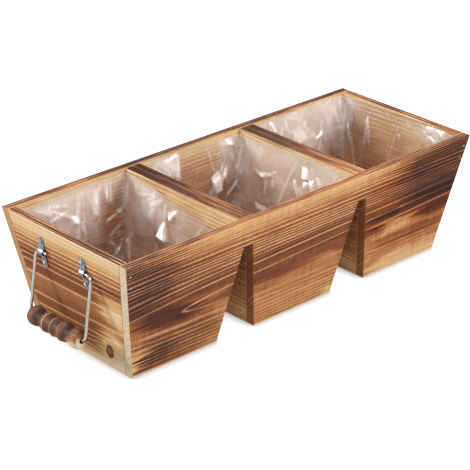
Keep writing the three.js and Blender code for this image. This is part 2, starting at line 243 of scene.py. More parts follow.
def wood(name, axes, p):
    g = Nodes(name)
    seed = p["seed"]
    P = g.position()
    u, v, w = (g.dot(P, a[:3], a[3]) for a in axes)
    uvw = g.combine(u, v, w)

    # slow drift of the grain
    s1 = g.noise(g.scaled(uvw, (1 / 170, 1 / 55, 1 / 55), (seed, 3.1, 1.7)), 1.0)
    s2 = g.noise(g.scaled(uvw, (1 / 46, 1 / 16, 1 / 16), (seed + 9.3, 1.9, 4.2)), 2.0)
    drift = g.add(g.around(s1, p.get("drift", 5.0)), g.around(s2, p.get("ripple", 1.8)))

    # distance from the pith line
    v0, slope = p["pith"]
    lean = g.mul(u, -slope)
    if p.get("level"):
        # the grain runs level away from the pith
        z0, z1, z2, z3 = p["level"]
        lean = g.mul(lean, g.mul(g.rise(v, z0, z1), g.rise(v, z2, z3, 1.0, 0.0)))
    vv = g.add(lean, v, drift, g.mul(w, p.get("tilt", 1.1)), -v0)
    for ku, kv, kr in p.get("knots", ()):
        push = g.spot(g.combine(u, v, 0.0), ku, kv, kr * 5.0, kr * 2.2, kr * 0.6, 0.0, 0.0)
        side = g.math("SIGN", g.math("SUBTRACT", v, kv))
        vv = g.math("MULTIPLY_ADD", push, g.mul(side, -1.0), vv)
    deep_a, deep_t, deep_c = p["deep"]
    far = g.math("MULTIPLY_ADD", g.math("EXPONENT", g.mul(u, -1.0 / deep_t)), deep_a, deep_c)
    if p.get("below"):
        # years below the pith are wider
        vv = g.mul(vv, g.rise(vv, -4.0, 4.0, p["below"], 1.0))
    dw = g.math("SUBTRACT", g.math("SQRT", far), g.mul(w, 0.55))
    r = g.math("SQRT", g.add(g.mul(vv, vv), g.mul(dw, dw)))
    ring = g.curve(r, p["rings"], 160.0, 40.0, True)
    wander = g.noise(g.combine(g.mul(r, 0.11), seed * 1.7, 0.0), 1.0)
    ring = g.add(ring, g.around(wander, p.get("wander", 1.1)))
    t = g.math("FRACT", ring)
    year = g.math("FLOOR", ring)
    k1 = g.rand(year, seed * 3.7 + 0.31)
    k2 = g.rand(year, seed * 5.1 + 7.77)

    # late wood: rises through the year and stops at once
    slim, wide = p.get("slim", (26.0, 32.0))
    slim = g.rise(vv, -4.0, 4.0, p.get("slim_below", slim), slim)
    start = g.math("MULTIPLY_ADD", k2, -0.14, g.rise(r, slim, g.math("ADD", slim, wide - p.get("slim", (26.0, 32.0))[0]), 0.90, p.get("late", 0.62)))
    late = g.mul(g.rise(t, start, g.math("ADD", start, 0.14)), g.rise(t, 0.965, 1.0, 1.0, 0.0))
    if p.get("core"):
        late = g.mul(late, g.rise(r, p["core"] - 0.5, p["core"]))
    waver = g.noise(g.combine(g.mul(u, 1 / 48), g.mul(ring, 0.9), seed * 1.3), 2.0, 0.6)
    late = g.mul(late, g.math("MULTIPLY_ADD", k1, 0.50, g.rise(waver, 0.30, 0.66, 0.16, 0.86)))

    # fibres, brush marks and short dark pores
    fib = g.noise(g.scaled(uvw, (1 / 34, 1 / 1.0, 1 / 1.0), (seed, 0, 0)), 2.0, 0.6)
    fine = g.noise(g.scaled(uvw, (1 / 8, 1 / 0.5, 1 / 0.5), (seed + 4, 0, 0)), 1.0)
    pore = g.rise(g.noise(g.scaled(uvw, (1 / 5.5, 1 / 0.9, 1 / 0.9), (seed + 8, 2, 0)), 1.0), 0.62, 0.74)
    streak = g.noise(g.scaled(uvw, (1 / 2.2, 1 / 30, 1 / 30), (seed + 6, 5, 0)), 2.0, 0.6)

    # scorch on the outer face
    warp = g.noise(g.scaled(uvw, (1 / 26, 1 / 13, 1 / 26), (seed + 2, 0, 3)), 3.0, 0.55, colour=True)
    bent = g.vmath("MULTIPLY_ADD", warp, (p.get("bend", 16.0), p.get("bend", 16.0) * 0.55, 0), g.combine(u, v, 0.0))
    bent = g.vmath("SUBTRACT", bent, (p.get("bend", 16.0) / 2, p.get("bend", 16.0) * 0.275, 0))
    # the flame's edges run out along the grain
    ragged = g.around(g.noise(g.combine(g.mul(u, 1 / 150), g.mul(vv, 1 / 3.4), seed * 2.9), 2.0, 0.6), p.get("ragged", 90.0))
    licked = g.vmath("ADD", bent, g.combine(ragged, 0.0, 0.0))
    blot = g.noise(g.scaled(uvw, (1 / 75, 1 / 26, 1 / 60), (seed + 1, 6, 0)), 3.0, 0.55)
    outer = g.curve(v, p["scorch"], 140.0, 1.0)
    outer = g.add(outer, g.around(blot, p.get("blot", 0.5)), g.around(streak, p.get("streak", 0.22)))
    if p.get("spots"):
        patchy = g.noise(g.scaled(uvw, (1 / 30, 1 / 4.5, 1 / 30), (seed + 17, 0, 2)), 3.0, 0.6)
        uneven = g.add(g.math("MULTIPLY_ADD", patchy, 0.60, 0.62), g.mul(g.rand(year, seed * 2.3 + 3.3), 0.14))
        outer = g.add(outer, g.mul(g.spots(licked, p["spots"]), uneven))
    outer = g.math("SUBTRACT", outer, g.rise(v, 2.6, 0.8, 0.0, 0.45))
    # inside face and cut edges
    blot2 = g.noise(g.scaled(uvw, (1 / 60, 1 / 22, 1 / 60), (seed + 21, 4, 8)), 3.0, 0.55)
    inner = g.add(g.curve(v, p["inside"], 140.0, 1.0), g.around(blot2, 0.5))
    scuff = g.noise(g.scaled(uvw, (1 / 60, 1 / 20, 1 / 2.4), (seed + 27, 1, 5)), 2.0, 0.6)
    rim_heat = g.curve(g.math("ADD", u, 250.0), p["rim"], 500.0, 1.2)
    rim = g.add(rim_heat, g.around(blot2, 0.50), g.around(scuff, 1.5))
    on_in = g.rise(w, TX - 1.4, TX - 0.5)
    on_out = g.rise(w, 1.0, 0.35)
    face = g.lerp(on_out, g.lerp(on_in, rim, inner), outer)
    geo = g.new("ShaderNodeNewGeometry")
    along = g.math("ABSOLUTE", g.dot(geo.outputs["Normal"], axes[0][:3]))
    butt = g.rise(along, 0.55, 0.75)
    cut = g.add(g.curve(g.math("ADD", u, 250.0), p["butt"], 500.0, 1.0, True), g.around(blot2, 0.25))
    scorch = g.lerp(butt, face, cut)
    flat = g.math("SUBTRACT", 1.0, butt)

    # within each year the char deepens towards the late wood, and years differ
    step = g.mul(g.math("SUBTRACT", g.math("MINIMUM", t, 0.9), 0.5), p.get("saw", 0.26))
    step = g.add(step, g.around(k1, p.get("years", 0.24)), g.around(fib, 0.34), g.around(fine, 0.16), g.mul(pore, p.get("pores", 0.10)))
    scorch = g.math("ADD", scorch, g.mul(step, g.math("MULTIPLY_ADD", flat, 0.75, 0.25)), clamp=True)

    line = late
    above = g.rise(vv, p.get("under", -8.0), p.get("under", -8.0) + 5.0)
    for rr, width, amount in p.get("lines", ()):
        off = g.math("ABSOLUTE", g.math("SUBTRACT", r, rr))
        if p.get("fine_tip"):
            width = g.rise(u, *p["fine_tip"], width * 0.4, width)
        line = g.math("MAXIMUM", line, g.mul(g.rise(off, g.mul(width, 0.35), width, amount, 0.0), g.mul(on_out, above)))
    if p.get("fades"):
        # the years under the pith lose their edge along the board
        lost = g.mul(g.mul(g.rise(u, *p["fades"]), g.rise(vv, -1.0, -4.0)), g.mul(g.rise(r, 24.0, 18.0), on_out))
        line = g.mul(line, g.math("MULTIPLY_ADD", lost, -0.9, 1.0))
    for u0, v0, slant, width, amount, ua, ub in p.get("strands", ()):
        off = g.math("ABSOLUTE", g.add(v, g.mul(drift, 0.7), g.mul(u, -slant), slant * u0 - v0))
        line = g.math("MAXIMUM", line, g.mul(g.rise(off, width * 0.35, width, amount, 0.0), g.mul(on_out, g.rise(u, ua, ub))))
    if p.get("soften"):
        line = g.mul(line, g.lerp(on_out, 1.0, g.curve(v, p["soften"], 140.0, 1.0)))
    line = g.mul(line, g.math("MULTIPLY_ADD", fine, 0.6, 0.72))
    line = g.mul(line, g.math("MULTIPLY_ADD", flat, 0.65, 0.35))
    line = g.mul(line, g.math("MULTIPLY_ADD", g.mul(on_in, g.rise(v, 128.0, 104.0)), -0.72, 1.0))
    colour = g.mix(line, g.ramp(scorch, EARLY), g.ramp(scorch, LATE))
    # one end took more heat and is redder
    if p.get("warm"):
        red = g.mul(g.rise(u, *p["warm"]), g.rise(scorch, 0.30, 0.52))
        colour = g.mix(g.mul(red, on_out), colour, g.mix(1.0, colour, (0.91, 0.75, 0.65, 1.0), "MULTIPLY"))
    # the inside saw little flame and has yellowed
    pr, pg, pb = p.get("pale", (1.13, 1.20, 1.28))
    colour = g.mix(g.mul(on_in, flat), colour, g.mix(1.0, colour, g.mix(g.rise(v, 104.0, 126.0), (0.96 * pr, 1.0 * pg, 1.03 * pb, 1.0), (0.89 * pr, 0.985 * pg, 1.08 * pb, 1.0)), "MULTIPLY"))
    # the rim is blackest where the flame came over the back
    sooty = g.mul(g.rise(rim_heat, 1.02, 1.18), g.mul(g.math("SUBTRACT", 1.0, on_in), g.math("SUBTRACT", 1.0, on_out)))
    colour = g.mix(sooty, colour, g.mix(1.0, colour, (0.60, 0.52, 0.45, 1.0), "MULTIPLY"))
    # sawn ends of the long boards: greyed cream with the saw's slanting marks
    if p.get("sawn"):
        kerf = g.noise(g.combine(g.mul(g.add(v, g.mul(w, 0.9)), 0.55), g.mul(w, 0.12), seed), 3.0, 0.7)
        bare = g.ramp(kerf, [(0.28, lin(176, 150, 120)), (0.45, lin(214, 192, 162)), (0.70, lin(232, 214, 188))])
        colour = g.mix(g.mul(g.mul(butt, g.rise(g.math("ABSOLUTE", u), 200.0, 210.0)), p["sawn"]), colour, bare)

    # knots
    dark = None
    for ku, kv, kr in p.get("knots", ()):
        m = g.spot(bent, ku, kv, kr * 0.86, kr * 1.22, 1.0, p.get("knot_turn", 0.0), 0.80)
        heart = g.spot(bent, ku + kr * 0.12, kv + kr * 0.1, kr * 0.44, kr * 0.72, 1.0, p.get("knot_turn", 0.0), 0.45)
        m = g.mul(m, g.math("MULTIPLY_ADD", heart, -0.25, 1.0))
        dark = m if dark is None else g.math("MAXIMUM", dark, m)
        halo = g.spot(bent, ku, kv, kr * 2.4, kr * 3.0, 0.5, p.get("knot_turn", 0.0), 0.3)
        colour = g.mix(g.mul(halo, g.mul(on_out, p.get("halo", 1.0))), colour, lin(214, 166, 116))
        glow = g.spot(bent, ku + kr * 0.9, kv + kr * 1.15, kr * 0.7, kr * 0.8, 0.8, 0.0, 0.1)
        colour = g.mix(g.mul(glow, on_out), colour, lin(236, 205, 160))
    if dark is not None:
        colour = g.mix(g.mul(dark, g.mul(on_out, 0.92)), colour, g.ramp(fib, [(0.3, lin(70, 33, 24)), (0.7, lin(132, 70, 46))]))

    # worn arrises show bare wood
    soft = g.new("ShaderNodeBevel", samples=6)
    soft.inputs["Radius"].default_value = 0.0011
    bent_by = g.vmath("DOT_PRODUCT", soft.outputs[0], geo.outputs["Normal"], out=1)
    worn = g.rise(bent_by, 0.985, 0.86)
    patch = g.rise(g.noise(g.scaled(uvw, (1 / 22, 1 / 22, 1 / 22), (seed + 14, 0, 0)), 3.0, 0.65), 0.36, 0.60)
    worn = g.mul(g.mul(worn, patch), p.get("wear", 0.6))
    colour = g.mix(worn, colour, lin(228, 196, 146))

    tone = g.add(g.around(fib, 0.22), g.around(fine, 0.16), 1.0)
    grey = g.combine(tone, tone, tone)
    colour = g.mix(1.0, colour, grey, "MULTIPLY")

    relief = g.add(g.mul(line, 0.55), g.mul(fib, 0.5), g.mul(fine, 0.25), g.mul(pore, -0.35))
    rough = g.rise(scorch, 0.1, 0.95, p.get("rough", 0.60), p.get("rough", 0.60) - 0.10, "LINEAR")
    rough = g.add(rough, g.around(fine, 0.12))
    b = g.principled(Base_Color=colour, Roughness=rough, Normal=g.bump(relief, 0.45, 0.00035))
    b.inputs["Specular IOR Level"].default_value = 0.05
    return g.done(b.outputs[0])


FRONT = ((1, 0, 0, 0), (0, 0, 1, 0), (0, 1, KY, DEPTH / 2 - INSET_Y))
BACK = ((-1, 0, 0, 0), (0, 0, 1, 0), (0, -1, KY, DEPTH / 2 - INSET_Y))


def cross(x0, face, sign=1):
    """Axes of a cross wall whose rim edge is at x0 and whose outer face looks along face."""
    return ((0, sign, 0, 0), (0, 0, 1, 0), (-face, 0, KX, face * x0 - INSET_X))


def ring_curve(near, pitch, far=160.0):
    """Year boundaries: those near the pith as listed, and then one at each pitch."""
    pts = [(0.0, 0.35)]
    for i, r in enumerate(near):
        pts.append((r, float(i + 1)))
    last_r, last_n = pts[-1]
    pts.append((far, last_n + (far - last_r) / pitch))
    return pts


PALE_ENDS = [(0, 0.10), (40, 0.10), (60, 0.54), (440, 0.54), (460, 0.12), (500, 0.12)]

YEARS = [11.5, 22.2, 27.1, 31.1, 35.3, 38.7, 41.9, 44.9, 48.6, 54.0, 59.5, 63.3, 66.3, 69.7, 72.2, 75.5]

front_wood = wood("scorched_front", FRONT, dict(
    seed=2.0, pith=(64.0, 0.029), deep=(19.5, 96.3, 25.0), sawn=0.85, level=(38.0, 58.0, 78.0, 106.0),
    rings=ring_curve(YEARS, 3.6), drift=1.8, ripple=0.8, wander=0.16, below=0.82,
    lines=((11.5, 0.5, 0.85), (22.2, 1.1, 0.9)), slim_below=14.0, fades=(-126.0, -104.0), core=11.5, fine_tip=(-172.0, -130.0),
    strands=((168.0, 68.6, 0.046, 1.0, 0.85, 92.0, 112.0), (168.0, 89.6, 0.052, 0.7, 0.7, 100.0, 130.0)),
    soften=[(0, 0.58), (30, 0.62), (48, 0.66), (58, 0.86), (70, 1.0), (140, 1.0)], warm=(56.0, 128.0),
    scorch=[(0, 0.40), (10, 0.44), (24, 0.45), (40, 0.44), (50, 0.48), (60, 0.57), (68, 0.58), (76, 0.66), (90, 0.64), (97, 0.62), (104, 0.54), (120, 0.52), (125, 0.45), (131, 0.34), (137, 0.28), (140, 0.26)],
    spots=[
        (-244, 106, 80, 42, 0.26, 0, 0.5), (-180, 108, 84, 26, 0.12), (-226, 134, 96, 13, 0.34, 0, 0.35), (-186, 61, 54, 15, 0.29, -6, 0.5), (-140, 56, 34, 9, 0.12), (-150, 76, 40, 8, 0.04),
        (-168, 26, 80, 34, 0.20, 0, 0.5), (-192, 18, 34, 18, 0.22, 0, 0.3), (-226, 14, 17, 30, -0.28, -8, 0.3), (-130, 61, 30, 8, -0.16, 6, 0.2),
        (-40, 61, 42, 9, 0.08), (20, 64, 40, 7, 0.03), (-24, 53, 40, 5, 0.09, 5, 0.2), (34, 57, 34, 6, -0.10, -4, 0.2), (-58, 46, 20, 6, 0.06), (-42, 88, 26, 10, 0.06), (40, 54, 30, 8, -0.10), (52, 6, 26, 11, -0.22), (36, 99, 30, 6, 0.06),
        (242, 110, 128, 46, 0.37, 0, 0.5), (140, 112, 84, 24, 0.10), (216, 134, 126, 13, 0.32, 0, 0.4), (126, 75, 34, 7, 0.24, 3, 0.4), (200, 82, 66, 15, 0.11, 3, 0.5), (116, 62, 22, 4, 0.20), (214, 60, 44, 12, 0.22, 0, 0.4),
        (140, 51, 50, 7, -0.16), (154, 60, 34, 8, -0.26, 0, 0.3), (184, 38, 76, 11, 0.16, 0, 0.4), (168, 8, 84, 15, -0.20, 0, 0.5), (148, 79.5, 7, 3.4, -0.40),
    ],
    knots=(), blot=0.14, streak=0.26, years=0.08, saw=0.06,
    inside=[(0, 0.48), (100, 0.44), (140, 0.36)], rim=[(0, 0.84), (120, 0.68), (250, 0.64), (380, 0.68), (500, 0.90)], butt=PALE_ENDS,
))

back_wood = wood("scorched_back", BACK, dict(
    seed=11.0, pale=(1.04, 1.06, 1.07), pith=(48.0, -0.018), deep=(14.0, 120.0, 60.0), sawn=0.22, level=(20.0, 42.0, 66.0, 96.0),
    rings=ring_curve([7.0, 14.0, 24.0, 29.5, 33.0, 37.6, 41.0, 46.2, 51.0, 54.4, 58.0, 63.6, 67.2, 71.0, 76.2], 4.2), drift=3.0, ripple=1.0, wander=0.2, blot=0.16, streak=0.26, years=0.08, saw=0.10,
    lines=((14.0, 1.1, 0.9), (24.0, 1.2, 1.0)),
    scorch=[(0, 0.34), (16, 0.42), (34, 0.46), (52, 0.54), (70, 0.66), (90, 0.62), (108, 0.54), (124, 0.44), (134, 0.32), (140, 0.30)],
    spots=[
        (-238, 108, 90, 40, 0.34, 0, 0.4), (-222, 134, 90, 13, 0.40, 0, 0.4), (-170, 52, 46, 12, 0.24, 4, 0.4), (-200, 16, 44, 16, 0.22), (-60, 128, 80, 12, -0.06),
        (0, 88, 60, 12, 0.10), (40, 56, 38, 10, 0.18, -3, 0.3), (-20, 24, 60, 14, -0.06), (30, 6, 34, 12, -0.18),
        (236, 104, 96, 42, 0.34, 0, 0.4), (216, 134, 110, 13, 0.42, 0, 0.4), (150, 66, 46, 10, 0.22, -3, 0.4), (206, 28, 50, 14, 0.20), (140, 10, 60, 14, -0.18),
    ],
    knots=((-112.0, 92.0, 3.0), (38.0, 36.0, 2.4)), knot_turn=84.0, halo=0.7,
    inside=[(0, 0.56), (70, 0.58), (100, 0.54), (124, 0.42), (134, 0.26), (140, 0.30)],
    rim=[(0, 0.98), (80, 0.82), (150, 0.94), (168, 1.0), (186, 0.94), (260, 0.82), (318, 0.94), (334, 1.0), (350, 0.94), (430, 0.76), (500, 0.74)],
    butt=[(0, 0.32), (40, 0.32), (60, 0.56), (440, 0.56), (460, 0.43), (500, 0.43)],
))

left_end_wood = wood("scorched_left_end", cross(-250.0, -1), dict(
    seed=5.0, pith=(62.0, -0.016), deep=(3.0, 200.0, 12.0), under=-200.0,
    rings=ring_curve([13.2, 26.8, 35.2, 41.2, 47.2, 52.4, 58.0, 62.4, 68.0, 73.2], 4.8), drift=1.8, ripple=0.7, wander=0.14, slim=(29.0, 35.0), ragged=40.0,
    lines=((13.2, 1.2, 0.9), (26.8, 1.0, 0.8)),
    scorch=[(0, 0.05), (6, 0.12), (12, 0.36), (20, 0.50), (34, 0.56), (46, 0.58), (54, 0.52), (60, 0.50), (70, 0.46), (74, 0.47), (78, 0.60), (86, 0.58), (94, 0.62), (99, 0.62), (105, 0.54), (111, 0.46), (116, 0.44), (121, 0.31), (126, 0.25), (129, 0.12), (140, 0.10)],
    spots=[
        (-72, 74, 44, 30, -0.40, 8, 0.3), (-64, 98, 30, 7, 0.16), (60, 96, 40, 8, 0.06), (84, 70, 14, 60, -0.08),
        (-60, 44, 32, 14, -0.22, 0, 0.3), (-58, 24, 40, 26, -0.36, 0, 0.4), (-62, 4, 30, 8, -0.06),
    ],
    knots=((-44.0, 20.5, 7.6),), knot_turn=8.0, halo=0.7, blot=0.12, streak=0.08, years=0.04, saw=0.06, bend=10.0,
    inside=[(0, 0.48), (100, 0.44), (140, 0.36)], rim=[(0, 0.86), (250, 0.84), (500, 0.82)], butt=[(0, 0.3), (500, 0.3)],
))

right_end_wood = wood("scorched_right_end", cross(250.0, 1, -1), dict(
    seed=17.0, pith=(50.0, 0.02), deep=(3.0, 200.0, 14.0), under=-200.0,
    rings=ring_curve([10.0, 19.0, 28.0, 33.6, 38.4, 44.6, 49.6, 54.8, 60.8, 65.4, 71.0], 5.0), drift=2.4, ripple=1.0, wander=0.2,
    lines=((19.0, 0.9, 0.85), (28.0, 0.8, 0.8)),
    scorch=[(0, 0.08), (10, 0.28), (26, 0.48), (44, 0.52), (62, 0.54), (80, 0.58), (96, 0.54), (112, 0.40), (124, 0.26), (132, 0.10), (140, 0.06)],
    spots=[(50, 60, 26, 20, -0.3), (-40, 84, 50, 12, 0.2), (20, 30, 40, 10, 0.16), (-70, 40, 16, 40, -0.1)],
    knots=((34.0, 102.0, 5.0),), knot_turn=10.0, halo=0.7, blot=0.2, streak=0.12, years=0.06, saw=0.12,
    inside=[(0, 0.48), (60, 0.46), (100, 0.42), (126, 0.36), (140, 0.34)], rim=[(0, 0.78), (250, 0.72), (500, 0.70)], butt=[(0, 0.3), (500, 0.3)],
))


def divider_wood(name, x0, face, seed, pith, near, pitch, inside, rim):
    return wood(name, cross(x0, face), dict(
        seed=seed, pith=pith, deep=(4.0, 180.0, 16.0), rings=ring_curve(near, pitch), drift=3.0, ripple=1.2, tilt=1.8,
        scorch=[(0, 0.40), (30, 0.44), (70, 0.52), (110, 0.66), (140, 0.80)], spots=[(-20, 90, 60, 26, 0.06), (-60, 12, 30, 12, -0.10)],
        knots=(), blot=0.20, streak=0.16, years=0.10, saw=0.10, inside=inside, rim=rim, butt=[(0, 0.5), (500, 0.5)], wear=0.3,
    ))


GOLD_IN = [(0, 0.38), (60, 0.37), (100, 0.36), (122, 0.30), (132, 0.24), (140, 0.30)]
bay1_right_wood = divider_wood("divider_1", BAYS[0][1], 1, 23.0, (40.0, 0.01), [8.0, 18.0, 24.0], 4.4, GOLD_IN, [(0, 0.76), (160, 0.80), (250, 1.0), (330, 1.16), (500, 1.2)])
bay2_left_wood = divider_wood("divider_2", BAYS[1][0], -1, 29.0, (58.0, -0.012), [8.0, 15.0, 20.0], 4.6, GOLD_IN, [(0, 0.68), (160, 0.72), (250, 0.92), (330, 1.12), (500, 1.2)])
bay2_right_wood = divider_wood("divider_3", BAYS[1][1], 1, 31.0, (44.0, 0.014), [9.0, 17.0, 23.0], 4.8, [(0, 0.44), (60, 0.38), (100, 0.34), (122, 0.28), (134, 0.20), (140, 0.30)], [(0, 0.50), (160, 0.52), (250, 0.80), (330, 1.10), (500, 1.2)])
bay3_left_wood = divider_wood("divider_4", BAYS[2][0], -1, 37.0, (52.0, -0.01), [10.0, 16.0, 21.0], 4.5, GOLD_IN, [(0, 0.50), (160, 0.52), (250, 0.82), (330, 1.12), (500, 1.2)])

floor_wood = wood("floor_pale", ((1, 0, 0, 0), (0, 1, 0, 70), (0, 0, 1, -3.0)), dict(
    seed=41.0, pith=(66.0, 0.02), deep=(8.0, 160.0, 60.0), rings=ring_curve([8.0, 14.0, 20.0], 5.2), drift=5.0, ripple=2.0, late=0.74,
    scorch=[(0, 0.22), (140, 0.22)], spots=[], knots=((-150.0, 40.0, 3.0),), knot_turn=88.0, halo=0.6, blot=0.2, streak=0.06, years=0.16, saw=0.12, rough=0.68,
    inside=[(0, 0.42), (140, 0.42)], rim=[(0, 0.3), (500, 0.3)], butt=[(0, 0.2), (500, 0.2)], wear=0.4,
))


# ------------------------------------------------------------------ boards with eased edges
def as_object(name, bm, material, smooth=False):
    mesh = bpy.data.meshes.new(name)
    bm.normal_update()
    bm.to_mesh(mesh)
    bm.free()
    for f in mesh.polygons:
        f.use_smooth = smooth
    mesh.materials.append(material)
    o = bpy.data.objects.new(name, mesh)
    scene.collection.objects.link(o)
    return o


def extruded(name, near, far, material, ease=0.7, segments=3):
    """A closed board between two outlines with the same number of corners, given in millimetres, with its edges eased."""
    bm = bmesh.new()
    a = [bm.verts.new(Vector(p) * MM) for p in near]
    b = [bm.verts.new(Vector(p) * MM) for p in far]
    bm.faces.new(a)
    bm.faces.new(list(reversed(b)))
    n = len(a)
    for i in range(n):
        bm.faces.new((a[(i + 1) % n], a[i], b[i], b[(i + 1) % n]))
    bmesh.ops.recalc_face_normals(bm, faces=bm.faces[:])
    bmesh.ops.bevel(bm, geom=bm.edges[:], offset=ease * MM, offset_type="OFFSET", segments=segments, profile=0.5, affect="EDGES", clamp_overlap=True)
    bmesh.ops.recalc_face_normals(bm, faces=bm.faces[:])
    return as_object(name, bm, material)


def stands_for(o, node, body="planter"):
    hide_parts(node)
    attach(o, body)
    return o


def long_outline():
    nh = KX * (HEIGHT - NOTCH_TOP) + GAP / 2
    nb = INSET_X + GAP / 2
    pts = [(-LENGTH / 2, HEIGHT), (-LENGTH / 2 + INSET_X, 0)]
    for x in NOTCH_X:
        pts += [(x - nb, 0), (x - nh, NOTCH_TOP), (x + nh, NOTCH_TOP), (x + nb, 0)]
    return pts + [(LENGTH / 2 - INSET_X, 0), (LENGTH / 2, HEIGHT)]


def long_board(name, turned, material):
    s = -1 if turned else 1
    near = [(s * x, s * -(DEPTH / 2 - KY * (HEIGHT - z)), z) for x, z in long_outline()]
    far = [(x, y + s * TY, z) for x, y, z in near]
    return extruded(name, near, far, material)


def cross_board(name, x0, face, material):
    top = DEPTH / 2 - TY - GLUE
    near, far = [], []
    for y, z in ((-top, HEIGHT), (-top + INSET_Y, 0), (top - INSET_Y, 0), (top, HEIGHT)):
        x = x0 - face * KX * (HEIGHT - z)
        near.append((x, y, z))
        far.append((x - face * TX, y, z))
    return extruded(name, near, far, material, 0.6)


SLIT = 0.61    # the divider boards close up to each other at the rim
stands_for(long_board("front_board", False, front_wood), "front_panel")
stands_for(long_board("back_board", True, back_wood), "back_panel")
stands_for(cross_board("left_end_board", -250.0, -1, left_end_wood), "left_end_panel")
stands_for(cross_board("right_end_board", 250.0, 1, right_end_wood), "right_end_panel")
stands_for(cross_board("bay1_right_board", BAYS[0][1] + SLIT, 1, bay1_right_wood), "bay1_right_divider")
stands_for(cross_board("bay2_left_board", BAYS[1][0] - SLIT, -1, bay2_left_wood), "bay2_left_divider")
stands_for(cross_board("bay2_right_board", BAYS[1][1] + SLIT, 1, bay2_right_wood), "bay2_right_divider")
stands_for(cross_board("bay3_left_board", BAYS[2][0] - SLIT, -1, bay3_left_wood), "bay3_left_divider")


def half_x(i, z, off):
    return (BAYS[i][1] - BAYS[i][0]) / 2 - TX - KX * (HEIGHT - z) - off


def half_y(z, off):
    return DEPTH / 2 - TY - KY * (HEIGHT - z) - off


for i in range(3):
    cx = sum(BAYS[i]) / 2
    outline = []
    for z in (3.0, 11.0):
        hx, hy = half_x(i, z, GLUE), half_y(z, GLUE)
        outline.append([(cx - hx, -hy, z), (cx + hx, -hy, z), (cx + hx, hy, z), (cx - hx, hy, z)])
    stands_for(extruded(f"bay{i + 1}_bottom", outline[0], outline[1], floor_wood, 0.5), f"bay{i + 1}_floor")


# ------------------------------------------------------------------ metal
def metal(name, base, dark, rough, seed, scale=(0.5, 0.5, 0.5), spangle=0.0, spread=0.12):
    g = Nodes(name)
    P = g.position()
    n1 = g.noise(g.scaled(P, tuple(0.35 * s for s in scale), (seed, 0, 0)), 3.0, 0.6)
    n2 = g.noise(g.scaled(P, tuple(2.6 * s for s in scale), (seed + 5, 0, 0)), 2.0, 0.6)
    t = g.add(g.mul(n1, 0.6), g.mul(n2, 0.4))
    if spangle:
        vo = g.new("ShaderNodeTexVoronoi", feature="F1")
        g.put(vo.inputs["Vector"], g.scaled(P, (0.55, 0.55, 0.55), (seed, 1, 2)))
        sep = g.new("ShaderNodeSeparateColor")
        g.put(sep.inputs[0], vo.outputs["Color"])
        t = g.lerp(spangle, t, sep.outputs[0])
    colour = g.ramp(t, [(0.32, dark), (0.62, base)])
    r = g.add(g.around(n1, spread), g.around(n2, spread), rough)
    b = g.principled(Base_Color=colour, Roughness=r, Normal=g.bump(n2, 0.25, 0.00006))
    b.inputs["Metallic"].default_value = 1.0
    return g.done(b.outputs[0])


zinc = metal("bright_zinc", lin(190, 197, 207), lin(104, 114, 128), 0.21, 1.0, spangle=0.35)
nail_steel = metal("nail_steel", lin(214, 216, 218), lin(150, 152, 156), 0.24, 3.0)
brad_dark = metal("scorched_brad", lin(176, 122, 82), lin(112, 72, 50), 0.6, 12.0)
wire_steel = metal("drawn_wire", lin(232, 227, 218), lin(188, 182, 172), 0.20, 7.0, scale=(1.2, 1.2, 0.25))


# ------------------------------------------------------------------ brackets, nails, wire, grips
def end_point(side, p):
    """A point of the right end's own frame, millimetres, on the named end."""
    x, y, z = p
    x += LENGTH / 2
    return Vector((x, y, z)) * MM if side == "right" else Vector((-x, -y, z)) * MM


def bail_point(side, p):
    x, y, z = p
    c, s = math.cos(TILT), math.sin(TILT)
    x, z = x * c - z * s, x * s + z * c
    return end_point(side, (x + HINGE[0] - LENGTH / 2, y + HINGE[1], z + HINGE[2]))


def mount_point(side, s, p):
    """A point of a bracket's frame: out of the board, across it and up it."""
    o, y, up = p
    c, q = math.cos(LEAN), math.sin(LEAN)
    foot = (-KX * (HEIGHT - BRACKET_Z), BRACKETS_Y + s * BRACKET_SPAN, BRACKET_Z)
    return end_point(side, (foot[0] + o * c + up * q, foot[1] + y, foot[2] - o * q + up * c))


def loft(name, rings, material, closed=False, smooth=True):
    """A skin over rings of points; open ends are closed by a fan about their middle."""
    bm = bmesh.new()
    vs = [[bm.verts.new(p) for p in ring] for ring in rings]
    n = len(vs[0])
    pairs = list(zip(vs, vs[1:])) + ([(vs[-1], vs[0])] if closed else [])
    for a, b in pairs:
        for i in range(n):
            bm.faces.new((a[i], a[(i + 1) % n], b[(i + 1) % n], b[i]))
    if not closed:
        for ring in (vs[0], vs[-1]):
            mid = bm.verts.new(sum((v.co for v in ring), Vector()) / n)
            for i in range(n):
                bm.faces.new((ring[i], ring[(i + 1) % n], mid))
    bmesh.ops.recalc_face_normals(bm, faces=bm.faces[:])
    return as_object(name, bm, material, smooth)


def strap_line():
    """Middle line of the bracket's strap: distance out of the board and height along it."""
    sweep, mid, half = 9.0, 0.8, 18.2
    rs = 2.4 + 0.5
    w = mid + sweep
    c = math.sqrt((sweep + rs) ** 2 - (w - WIRE_OFF) ** 2)
    turn = math.atan2(c, w - WIRE_OFF)
    low, high = WIRE_UP - c, WIRE_UP + c
    pts = [(mid, z) for z in np.concatenate([np.linspace(-half + 0.06, -half + 4, 10), np.linspace(-half + 4.8, low - 0.4, 6)])]
    pts += [(w - sweep * math.cos(a), low + sweep * math.sin(a)) for a in np.linspace(0, turn, 10)]
    pts += [(WIRE_OFF + rs * math.cos(a), WIRE_UP + rs * math.sin(a)) for a in np.linspace(-turn, turn, 22)[1:-1]]
    pts += [(w - sweep * math.cos(a), high - sweep * math.sin(a)) for a in np.linspace(turn, 0, 10)]
    pts += [(mid, z) for z in np.concatenate([np.linspace(high + 0.4, half - 4.8, 6), np.linspace(half - 4, half - 0.06, 10)])]
    return pts


